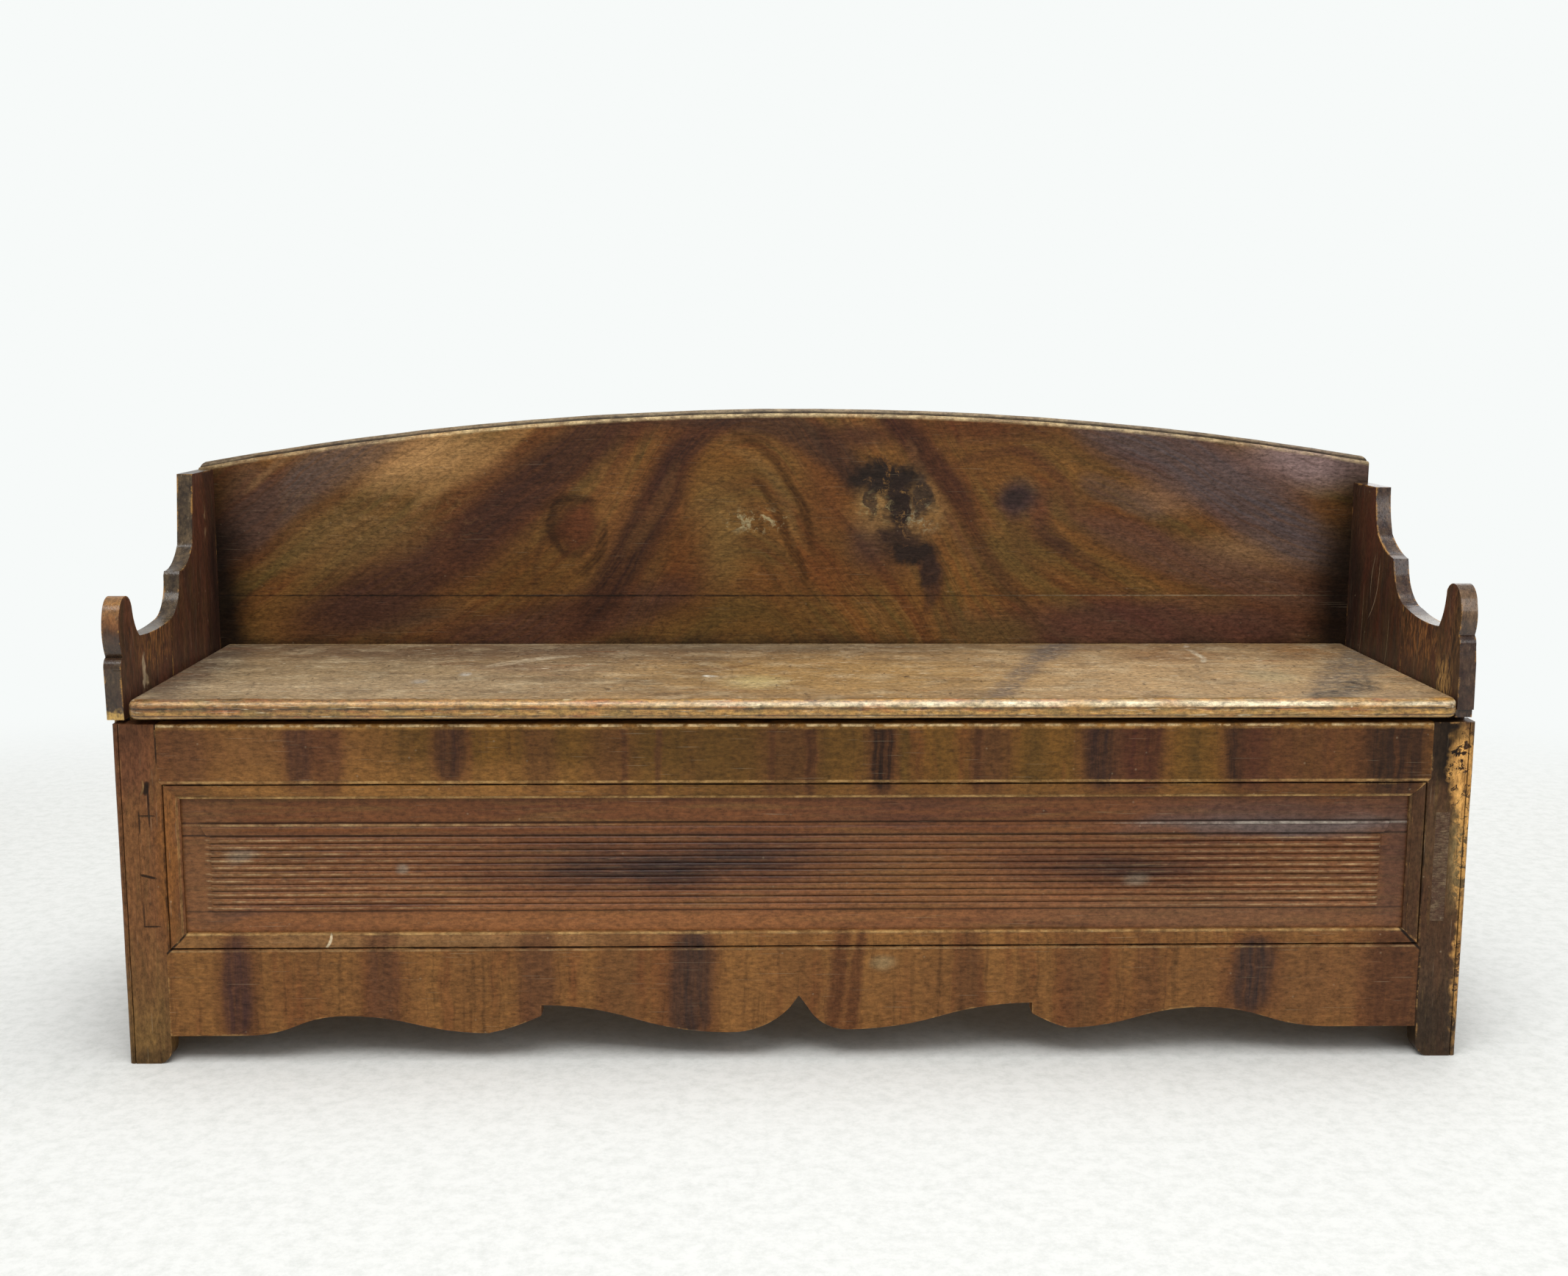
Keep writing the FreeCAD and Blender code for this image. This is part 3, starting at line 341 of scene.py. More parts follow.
def paint_back():
    """The back: glaze combed up from the left, over a tall arch with nested lines, past two knots and down again."""
    material, tree, flat = new_material("grained oil paint, back")
    place = wavering(tree, wavering(tree, flat, 6.0, 120.0), 1.5, 18.0)
    split = add(tree, "SeparateXYZ", {0: place})
    # The line that the comb was dragged along, as x and rise in mm; every band keeps its shape.
    line = ((-900, 90), (-640, 285), (-450, 408), (-330, 502), (-280, 552), (-190, 718), (-110, 810), (-60, 828),
            (-30, 818), (30, 750), (110, 650), (180, 560), (250, 435), (330, 315), (420, 243), (560, 173),
            (760, 63), (900, 20))
    stretch = add(tree, "MapRange", {"Value": split.outputs["X"], "From Min": -900.0, "From Max": 900.0})
    drag = add(tree, "FloatCurve", {"Value": stretch})
    points = drag.mapping.curves[0].points
    for x, rise in line[1:-1]:
        points.new((x + 900) / 1800, rise / 900)
    points[0].location = (0.0, line[0][1] / 900)
    points[-1].location = (1.0, line[-1][1] / 900)
    drag.mapping.update()
    flow = add(tree, "Math", {0: drag, 1: -900.0, 2: split.outputs["Z"]}, operation="MULTIPLY_ADD")
    x = split.outputs["X"]
    ground = glaze_over(tree, "#7a5026", "#5f4a25", streaks(tree, x, flow, 420, 52, 1, 0.36, 0.62))
    ground = glaze_over(tree, ground, "#5f341a", streaks(tree, x, flow, 330, 34, 2, 0.46, 0.64), 0.7)
    ground = glaze_over(tree, ground, "#93693b", streaks(tree, x, flow, 220, 15, 3, 0.56, 0.72), 0.5)
    hairs = streaks(tree, x, flow, 150, 4.5, 5, 0.54, 0.66)
    lift = streaks(tree, x, flow, 170, 6, 4, 0.32, 0.62, 0.45)
    ground = dab(tree, place, ground, [
        ("#b58a58", (-600, 785), (130, 44), 0.7, 0.85),
        ("#6e5430", (-670, 650), (120, 60), 0.7, 0.7),
        ("#5b3a18", (-400, 600), (70, 45), 0.7, 0.6),
        ("#7a522b", (-265, 700), (35, 85), 0.7, 0.6),
        ("#70491f", (-125, 765), (62, 42), 0.7, 0.7),
        ("#755a30", (-112, 660), (42, 85), 0.7, 0.7),
        ("#623a1d", (56, 715), (40, 80), 0.7, 0.7),
        ("#5e3316", (-165, 630), (38, 70), 0.8, 0.7),
        ("#663b1c", (60, 605), (80, 34), 0.8, 0.6),
        ("#5f4a26", (345, 635), (60, 45), 0.7, 0.7),
        ("#664220", (310, 775), (62, 34), 0.7, 0.8),
        ("#532c1a", (290, 828), (120, 20), 0.7, 0.7),
        ("#674d2b", (428, 714), (36, 26), 0.7, 0.7),
        ("#8c6b4e", (590, 725), (62, 26), 0.7, 0.85),
        ("#9b7b56", (755, 636), (120, 32), 0.7, 0.9),
        # A painted sheen: this pinkish grey patch at the upper right is the varnish's reflection.
        ("#86706d", (785, 772), (120, 36), 0.7, 0.9),
        ("#52322b", (600, 525), (300, 42), 0.5, 0.8),
        ("#5d4826", (325, 518), (62, 22), 0.7, 0.7),
        ("#6b4a2c", (658, 553), (34, 12), 0.7, 0.6),
        ("#3f3127", (-640, 540), (110, 30), 0.7, 0.9),
        ("#5b411d", (-100, 535), (150, 40), 0.7, 0.6),
        ("#7b5529", (-770, 530), (60, 34), 0.7, 0.8),
        ("#452a20", (105, 815), (50, 20), 0.8, 0.8)])
    ground = brush(tree, place, ground, [
        ("#574840", (-744, 735), 34.2, 150, 24, -11.9, 0.8, 0.9),
        ("#4c3a32", (-825, 700), 80.0, 60, 26, 0.0, 0.8, 0.6),
        ("#432a20", (-556, 612), 31.0, 190, 29, 20.1, 0.8, 0.95),
        ("#3b251c", (-372, 762), 37.9, 165, 25, -16.3, 0.8, 0.95),
        ("#4a3026", (-335, 530), 12.7, 165, 22, 8.4, 0.85, 0.85),
        ("#341f17", (-232, 655), 61.5, 150, 21, 12.4, 0.8, 0.95),
        ("#36211a", (-150, 808), 42.0, 95, 13, -21.9, 0.8, 0.9),
        ("#3a2a22", (-3, 829), -21.2, 165, 17, -47.6, 0.85, 0.85),
        ("#3c2a24", (217, 612), -69.1, 52, 10, -17.1, 0.8, 0.8),
        ("#382019", (204, 795), -48.7, 110, 13, -4.3, 0.85, 0.95),
        ("#43281a", (285, 665), -59.0, 115, 8, 8.0, 0.85, 0.55),
        # The grey-violet stroke at the upper right is glaze with a painted cool reflection in it.
        ("#554a4a", (658, 745), -29.4, 200, 33, -12.1, 0.85, 0.95),
        ("#5f4336", (660, 610), -17.1, 190, 21, 11.7, 0.85, 0.8)], lift, "#54301c")
    ground = glaze_over(tree, ground, "#38210f", hairs, 0.35)
    ground = brush(tree, place, ground, [
        ("#8f6a3f", (-478, 774), 35.0, 100, 9, -0.9, 0.9, 0.75),
        ("#8f6a3f", (-528, 778), 42.0, 34, 6, 0.0, 0.9, 0.6),
        ("#7b5a3a", (-786, 762), 42.0, 34, 5, 0.0, 0.9, 0.6),
        ("#7b5a3a", (-800, 752), 42.0, 30, 4, 0.0, 0.9, 0.6),
        ("#7d5830", (-208, 700), 61.0, 70, 8, 4.0, 0.9, 0.3),
        ("#3f260f", (-1, 747), -55.8, 98, 5.0, -21.8, 0.9, 0.9),
        ("#3f260f", (-4, 670), -63.3, 80, 5.5, -7.0, 0.9, 0.9),
        ("#745731", (-20, 742), -55.0, 80, 6.0, -20.0, 0.9, 0.5),
        ("#4e3418", (-28, 662), -42.0, 34, 4.0, -4.0, 0.9, 0.6),
        ("#4e3418", (-24, 605), -60.0, 30, 4.0, -4.0, 0.9, 0.6),
        ("#503519", (-66, 716), -46.0, 64, 5.0, -24.0, 0.9, 0.5),
        ("#503519", (-78, 690), -46.0, 50, 4.0, -20.0, 0.9, 0.35),
        ("#765333", (236, 700), -62.0, 95, 7, 4.0, 0.9, 0.6),
        ("#55361f", (262, 655), -62.0, 90, 4, 6.0, 0.9, 0.5),
        ("#55361f", (352, 672), -74.0, 60, 9, 6.0, 0.9, 0.4),
        ("#3c2418", (75, 775), -62.0, 50, 6, -4.0, 0.9, 0.6),
        ("#54301f", (398, 764), -40.0, 62, 8, -15.0, 0.9, 0.6),
        ("#4f2f1c", (322, 790), 8.0, 56, 6, -9.0, 0.9, 0.55),
        ("#5a3a20", (330, 812), 2.0, 90, 5, -16.0, 0.9, 0.5),
        ("#544036", (512, 724), -26.0, 60, 12, 0.0, 0.9, 0.7)], lift)
    # Two knots, each a dark heart with a soft ring.
    ground = dab(tree, place, ground, [
        ("#432413", (-332, 676), (37, 44), 0.5, 0.85),
        ("#623820", (-320, 676), (20, 28), 0.8, 0.75),
        ("#5c3425", (384, 703), (16, 34), 0.8, 0.7),
        ("#3d2d2e", (350, 720), (26, 26), 0.6, 0.9),
        ("#261e1c", (345, 722), (14, 12), 0.8, 0.7),
        ("#45322c", (122, 654), (30, 32), 0.8, 0.8)])
    ground = brush(tree, place, ground, [
        ("#2f1c0d", (-366, 682), 90.0, 44, 5, -14.0, 0.9, 0.85),
        ("#2f1c0d", (-340, 722), 4.0, 36, 5, -10.0, 0.9, 0.8),
        ("#2f1c0d", (-294, 632), 58.0, 40, 6, 10.0, 0.9, 0.8),
        ("#3c2412", (-328, 632), 8.0, 26, 4, 8.0, 0.9, 0.5),
        ("#4a2f18", (-385, 640), 75.0, 60, 4, -12.0, 0.9, 0.5),
        ("#4a2f18", (-402, 655), 78.0, 46, 3, -10.0, 0.9, 0.35),
        ("#4a2d1c", (430, 638), -31.3, 55, 10, -4.7, 0.9, 0.6),
        ("#3d261d", (407, 663), -50.0, 34, 10, 0.0, 0.9, 0.7)], lift)
    # The blot beside the long line: thick glaze that crept into islands as it dried.
    torn = wavering(tree, wavering(tree, flat, 9.0, 30.0), 4.0, 8.0)
    islands = add(tree, "TexNoise", {"Vector": torn, "Scale": 1 / 20, "Detail": 6.0, "Roughness": 0.75})
    thick = add(tree, "MapRange", {"Value": islands, "From Min": 0.33, "From Max": 0.43})
    ground = dab(tree, torn, ground, [
        ("#a37e4a", (168, 704), (60, 50), 0.5, 0.85),
        ("#4a3122", (165, 660), (66, 62), 0.7, 0.6)])
    ground = dab(tree, torn, ground, [
        ("#261d18", (148, 752), (60, 24), 0.35, 1.0),
        ("#2a1f1a", (170, 712), (20, 44), 0.35, 1.0),
        ("#2d2420", (206, 722), (16, 30), 0.4, 0.9),
        ("#2d2420", (126, 716), (9, 26), 0.4, 0.8),
        ("#33241e", (166, 660), (34, 16), 0.4, 0.9),
        ("#2a1f1a", (190, 634), (40, 18), 0.4, 1.0),
        ("#33241e", (216, 606), (12, 26), 0.4, 0.9)], thick)
    pale = add(tree, "MapRange", {"Value": islands, "From Min": 0.52, "From Max": 0.60})
    ground = dab(tree, flat, ground, [
        ("#a79c76", (-52, 686), (44, 17), 0.6, 0.75),
        ("#8a7b55", (136, 706), (26, 22), 0.6, 0.8),
        ("#8c8468", (200, 690), (26, 22), 0.6, 0.8),
        ("#8a6b44", (-620, 700), (120, 50), 0.7, 0.4)], pale)
    # The joint between the planks as a dark line, and painted shade with some grime: darker in the corners by the arms
    # and along the seat.
    ground = dab(tree, flat, ground, [
        ("#1c1108", (-300, 570), (640, 1.4), 0.4, 0.9),
        ("#8a7a60", (620, 570.5), (300, 1.1), 0.4, 0.7)], broken(tree, flat, 25.0, 0.6))
    corner_shade_place = wavering(tree, flat, 12.0, 90.0)
    ground = dab(tree, corner_shade_place, ground, [
        ("#140d08", (-890, 480), (62, 330), 0.45, 0.95),
        ("#140d08", (890, 480), (66, 330), 0.45, 0.94),
        ("#22170e", (0, 462), (FAR, 38), 0.35, 0.7)])
    # The arched edge: its front list is worn to beige, with a grey bead, and the groove behind the list darkened as
    # painted shade.
    rim = add(tree, "VectorMath", {0: flat, 1: (ARCH_APEX[0], 0.0, ARCH_APEX[1] - ARCH_RADIUS)}, operation="SUBTRACT")
    plane = add(tree, "VectorMath", {0: rim, 1: (1.0, 0.0, 1.0)}, operation="MULTIPLY")
    radius = add(tree, "VectorMath", {0: plane}, operation="LENGTH")
    list_from = add(tree, "MapRange", {"Value": radius.outputs["Value"], "From Min": ARCH_RADIUS - 13.5,
                                       "From Max": ARCH_RADIUS - 10.0})
    depth = add(tree, "SeparateXYZ", {0: flat})
    behind = add(tree, "MapRange", {"Value": depth.outputs["Y"], "From Min": BACK_FRONT + 8.5,
                                    "From Max": BACK_FRONT + 10.5})
    crown = add(tree, "Math", {0: depth.outputs["X"]}, operation="ABSOLUTE")
    crown = add(tree, "MapRange", {"Value": crown, "From Min": 300.0, "From Max": 700.0, "To Min": 1.0, "To Max": 0.55})
    listed = add(tree, "Math", {0: list_from, 1: broken(tree, flat, 26.0, 0.4)}, operation="MULTIPLY")
    listed = add(tree, "Math", {0: listed, 1: crown}, operation="MULTIPLY")
    ground = glaze_over(tree, ground, "#c9b184", listed, 0.85)
    beaded = add(tree, "Math", {0: list_from, 1: behind}, operation="MULTIPLY")
    ground = glaze_over(tree, ground, "#6f6150", beaded, 0.75)
    # Painted shade: a dark line in the groove behind the list.
    ground = dab(tree, flat, ground, [("#1c130c", (0, BACK_FRONT + 8.5, 800), (FAR, 1.6, FAR), 0.5, 0.8)])
    # Nobody painted below the seat.
    below = add(tree, "SeparateXYZ", {0: wavering(tree, flat, 2.0, 30.0)})
    unpainted = add(tree, "MapRange", {"Value": below.outputs["Z"], "From Min": BARE_FROM, "From Max": BARE_TO})
    ground = glaze_over(tree, ground, BARE_WOOD, unpainted, 0.95)
    finish_wood(tree, flat, ground, bare="#a8926a", rub=0.05, roughness=0.46, length=26.0, spacing=3.0, fibre=0.24,
                speck=0.45, specular=0.15, scratched=0.12)
    return material


def paint_rails():
    """The two rails: short upright dashes of glaze at uneven steps over an ochre ground that was brushed upright."""
    material, tree, flat = new_material("grained oil paint, rails")
    place = wavering(tree, wavering(tree, flat, 2.5, 40.0), 1.0, 12.0)
    split = add(tree, "SeparateXYZ", {0: place})
    x, z = split.outputs["X"], split.outputs["Z"]
    lower = add(tree, "MapRange", {"Value": z, "From Min": 300.0, "From Max": 200.0})
    upper_ground = glaze_over(tree, "#6f4b1e", "#5a3f1a", streaks(tree, z, x, 500, 60, 1, 0.38, 0.62))
    lower_ground = glaze_over(tree, "#845a2f", "#744d29", streaks(tree, z, x, 500, 70, 2, 0.38, 0.62))
    ground = glaze_over(tree, upper_ground, lower_ground, lower, 1.0)
    ground = glaze_over(tree, ground, "#6a3b20", streaks(tree, z, x, 260, 34, 3, 0.50, 0.68), 0.6)
    ground = glaze_over(tree, ground, "#4a301a", streaks(tree, z, x, 200, 7, 4, 0.54, 0.68), 0.45)
    ground = dab(tree, place, ground, [
        ("#7a5230", (-690, 425), (150, 60), 0.6, 0.7),
        ("#563c19", (-100, 425), (190, 60), 0.6, 0.8),
        ("#8a5f31", (-520, 396), (300, 16), 0.7, 0.5),
        ("#6f4a2c", (700, 110), (160, 60), 0.6, 0.6),
        ("#8f6232", (-500, 372), (330, 9), 0.5, 0.8),
        ("#7a5128", (300, 372), (400, 9), 0.5, 0.6),
        ("#86633f", (-500, 168), (330, 9), 0.6, 0.7)])
    lift = streaks(tree, z, x, 120, 6, 5, 0.30, 0.62, 0.45)
    top, high, low, tall = 428, 56, 98, 86
    ground = brush(tree, place, ground, [
        ("#432a20", (-648, top + 10), 90, high, 17, 0, 0.5, 0.8),
        ("#573522", (-612, top), 90, high, 14, 0, 0.5, 0.7),
        ("#36221a", (-453, top + 10), 88, high - 6, 17, 0, 0.4, 0.9),
        ("#553820", (-337, top), 90, high, 14, 0, 0.6, 0.5),
        ("#5a3b20", (-243, top), 90, high, 20, 0, 0.6, 0.4),
        ("#4b2f1c", (-226, top), 90, high, 3, 0, 0.6, 0.6),
        ("#4b2f1c", (-183, top), 90, high, 3, 0, 0.6, 0.6),
        ("#4c301a", (-10, top), 90, high, 24, 0, 0.45, 0.6),
        ("#3d2415", (16, top), 90, high, 5, 0, 0.6, 0.7),
        ("#3d2415", (-34, top), 90, high, 3, 0, 0.6, 0.5),
        ("#22150f", (111, top), 90.5, high, 14, 0, 0.4, 1.0),
        ("#4c301e", (255, top), 90, high, 21, 0, 0.4, 0.6),
        ("#3f2616", (237, top), 90, high, 4, 0, 0.6, 0.6),
        ("#2f1f1a", (404, top + 4), 90, high, 24, 0, 0.4, 0.95),
        ("#45241a", (455, top), 90, high, 22, 0, 0.5, 0.85),
        ("#2a1a14", (586, top + 4), 90, high, 20, 0, 0.35, 0.95),
        ("#45261a", (608, top), 90, high, 14, 0, 0.5, 0.8),
        ("#5a3722", (682, top), 90, high, 50, 0, 0.6, 0.6),
        ("#2d1e16", (790, top), 90, high + 8, 40, 0, 0.4, 0.92),
        ("#5c3a27", (-802, top), 90, high, 28, 0, 0.5, 0.5),
        ("#402925", (-742, low + 6), 89, tall - 16, 17, 0, 0.45, 0.92),
        ("#5a3a26", (-550, low), 90, tall, 18, 0, 0.5, 0.75),
        ("#593a26", (-346, low), 90, tall, 20, 0, 0.5, 0.7),
        ("#664628", (-234, low), 90, tall, 18, 0, 0.6, 0.5),
        ("#382923", (-141, low + 8), 87, tall - 12, 25, 0, 0.4, 0.95),
        ("#53301a", (54, low), 85, tall, 8, 0, 0.5, 0.9),
        ("#53301a", (78, low), 85, tall, 6, 0, 0.5, 0.75),
        ("#573820", (231, low), 90, tall, 14, 0, 0.4, 0.7),
        ("#624126", (381, low), 90, tall, 20, 0, 0.5, 0.5),
        ("#624126", (474, low), 90, tall, 13, 0, 0.5, 0.5),
        ("#352824", (613, low + 18), 84, tall - 36, 23, 0, 0.45, 0.95),
        ("#4b2d1c", (806, low), 90, tall, 30, 0, 0.5, 0.8)], lift, "#5c3620")
    ground = dab(tree, place, ground, [("#93805c", (116, 135), (15, 10), 0.6, 0.55)])
    # The moulding's arrises, worn pale and partly lit as painted highlights, and its quirks darkened as painted shade,
    # upper rail first.
    ground = dab(tree, flat, ground, [
        ("#1d120a", (0, 381), (FAR, 1.2), 0.5, 0.85),
        ("#b5915c", (0, 384.5), (FAR, 1.5), 0.6, 0.65),
        ("#b5915c", (0, 362.8), (FAR, 1.6), 0.6, 0.7),
        ("#a97c42", (0, 459), (FAR, 4.2), 0.6, 0.85),
        ("#1d120a", (0, 159), (FAR, 1.2), 0.5, 0.85),
        ("#b5915c", (0, 177), (FAR, 1.6), 0.6, 0.75),
        ("#a88a60", (0, 155.5), (FAR, 1.2), 0.5, 0.5)], broken(tree, flat, 30.0, 0.3))
    # The top arris worn to pale wood, partly a painted highlight.
    ground = dab(tree, flat, ground, [("#dcc08f", (0, 459.5), (FAR, 1.6), 0.6, 0.9)], broken(tree, flat, 17.0, 0.0))
    # Open mitres at the lower corners and the shoulder lines.
    ground = brush(tree, flat, ground, [
        ("#150d08", (-821, 165), 46.0, 20, 1.8, 0, 0.5, 0.95),
        ("#150d08", (825, 165), 134.0, 20, 1.8, 0, 0.5, 0.95),
        ("#d8c6a4", (-618, 168), 70.0, 9, 1.6, 2, 0.5, 0.8),
        ("#241609", (839, 98), 90.0, 66, 2.0, 0, 0.5, 0.9)])
    finish_wood(tree, flat, ground, bare="#a8824f", rub=0.34, roughness=0.42, length=26.0, spacing=3.0, fibre=0.12,
                speck=0.42, pores=0.25, scratched=0.2)
    return material


def paint_panel():
    """The panel: warm brown, with dark clouds drawn out along the reeds and a painted cool reflection at the right."""
    material, tree, flat = new_material("grained oil paint, panel")
    place = wavering(tree, flat, 10.0, 90.0)
    split = add(tree, "SeparateXYZ", {0: flat})
    x, z = split.outputs["X"], split.outputs["Z"]
    upper = add(tree, "MapRange", {"Value": z, "From Min": 215.0, "From Max": 330.0})
    ground = glaze_over(tree, "#805130", "#6a4023", upper)
    ground = glaze_over(tree, ground, "#552f1c", streaks(tree, x, z, 230, 13, 1, 0.48, 0.66), 0.6)
    ground = glaze_over(tree, ground, "#76572f", streaks(tree, x, z, 200, 9, 2, 0.50, 0.68), 0.5)
    streaked = streaks(tree, x, z, 110, 7, 3, 0.28, 0.60, 0.2)
    ground = dab(tree, place, ground, [
        ("#4a291b", (-150, 272), (230, 36), 0.7, 0.85),
        ("#33201a", (-170, 272), (130, 17), 0.8, 1.0),
        ("#33201a", (-250, 262), (70, 10), 0.8, 0.9),
        ("#33201a", (-60, 282), (70, 12), 0.8, 0.8),
        ("#4a291b", (440, 266), (150, 30), 0.7, 0.85),
        ("#33201a", (430, 266), (62, 12), 0.8, 0.95),
        ("#4c2c22", (150, 340), (120, 16), 0.7, 0.6),
        ("#4a3430", (-735, 203), (46, 8), 0.7, 0.8)], streaked)
    ground = dab(tree, place, ground, [
        ("#7c522a", (150, 245), (100, 40), 0.7, 0.5),
        ("#8b5932", (-300, 192), (420, 16), 0.6, 0.8),
        ("#735036", (560, 195), (220, 24), 0.7, 0.6),
        # A painted cool reflection on the upper right of the panel.
        ("#5e5350", (655, 322), (170, 14), 0.7, 0.85),
        ("#503a34", (640, 342), (150, 16), 0.7, 0.6),
        ("#4b342b", (800, 270), (24, 100), 0.6, 0.6),
        ("#744f30", (-780, 270), (50, 90), 0.7, 0.6)])
    # Each reed is 9.23 mm wide: dark lines in the valleys between as painted shade, and crests worn in stretches and
    # lit as painted highlights, brighter towards the ends.
    pitch = (REEDS_TO - REEDS_FROM) / REEDS
    from_valley = add(tree, "Math", {0: z, 1: REEDS_FROM}, operation="SUBTRACT")
    rise = add(tree, "Math", {0: from_valley, 1: pitch / 2}, operation="PINGPONG")
    valley = add(tree, "MapRange", {"Value": rise, "From Min": 1.3, "From Max": 0.4})
    crest = add(tree, "MapRange", {"Value": rise, "From Min": 3.0, "From Max": 4.3})
    field = add(tree, "Group", {"Place": flat, "Centre": (3.0, 0.0, 258.2), "Radii": (FAR, FAR, 52.0), "Outer": 1.0,
                                "Inner": 0.97}, node_tree=SOFT_PATCH)
    ends = add(tree, "Math", {0: x}, operation="ABSOLUTE")
    within = add(tree, "MapRange", {"Value": ends, "From Min": 781.0, "From Max": 777.0})
    reeded = add(tree, "Math", {0: field, 1: within}, operation="MULTIPLY")
    valley_shade = add(tree, "Math", {0: valley, 1: reeded}, operation="MULTIPLY")
    patchy = add(tree, "Math", {0: valley_shade, 1: streaks(tree, x, z, 34, 10, 7, 0.36, 0.60, 0.2)}, operation="MULTIPLY")
    ground = glaze_over(tree, ground, "#1d110a", patchy, 0.5)
    outer = add(tree, "MapRange", {"Value": ends, "From Min": 380.0, "From Max": 720.0, "To Min": 0.15, "To Max": 1.0})
    crest_wear_and_highlight = add(tree, "Math", {0: crest, 1: reeded}, operation="MULTIPLY")
    crest_wear_and_highlight = add(tree, "Math", {0: crest_wear_and_highlight, 1: streaks(tree, x, z, 26, 7, 6, 0.40, 0.62, 0.1)}, operation="MULTIPLY")
    crest_wear_and_highlight = add(tree, "Math", {0: crest_wear_and_highlight, 1: outer}, operation="MULTIPLY")
    ground = glaze_over(tree, ground, "#c3a87c", crest_wear_and_highlight, 0.6)
    # Dark lines along the bead and the field's edges: painted shade in the quirks.
    ground = dab(tree, flat, ground, [
        ("#1d110a", (0, 327.3), (FAR, 1.3), 0.5, 0.6),
        ("#1d110a", (0, 310.5), (FAR, 1.3), 0.5, 0.7),
        ("#1d110a", (0, 207.0), (FAR, 1.2), 0.5, 0.5)])
    ground = dab(tree, place, ground, [
        ("#857a68", (-730, 279), (20, 8), 0.7, 0.5),
        ("#8f8270", (-521, 261), (8, 7), 0.6, 0.6),
        ("#857a68", (455, 249), (16, 8), 0.7, 0.5)])
    # Painted highlight along the bead: warm at the left, a cool reflection at the right.
    ground = dab(tree, flat, ground, [
        ("#b79a6c", (-560, 324.5), (260, 1.6), 0.6, 0.7),
        ("#a3998c", (640, 324.5), (180, 1.8), 0.6, 0.8)], broken(tree, flat, 40.0, 0.3))
    finish_wood(tree, flat, ground, bare="#b59266", rub=0.14, roughness=0.36, specular=0.2, fibre=0.12, length=40.0,
                speck=0.4, dirt_and_shade=0.35, pores=0.25, scratched=0.2)
    return material


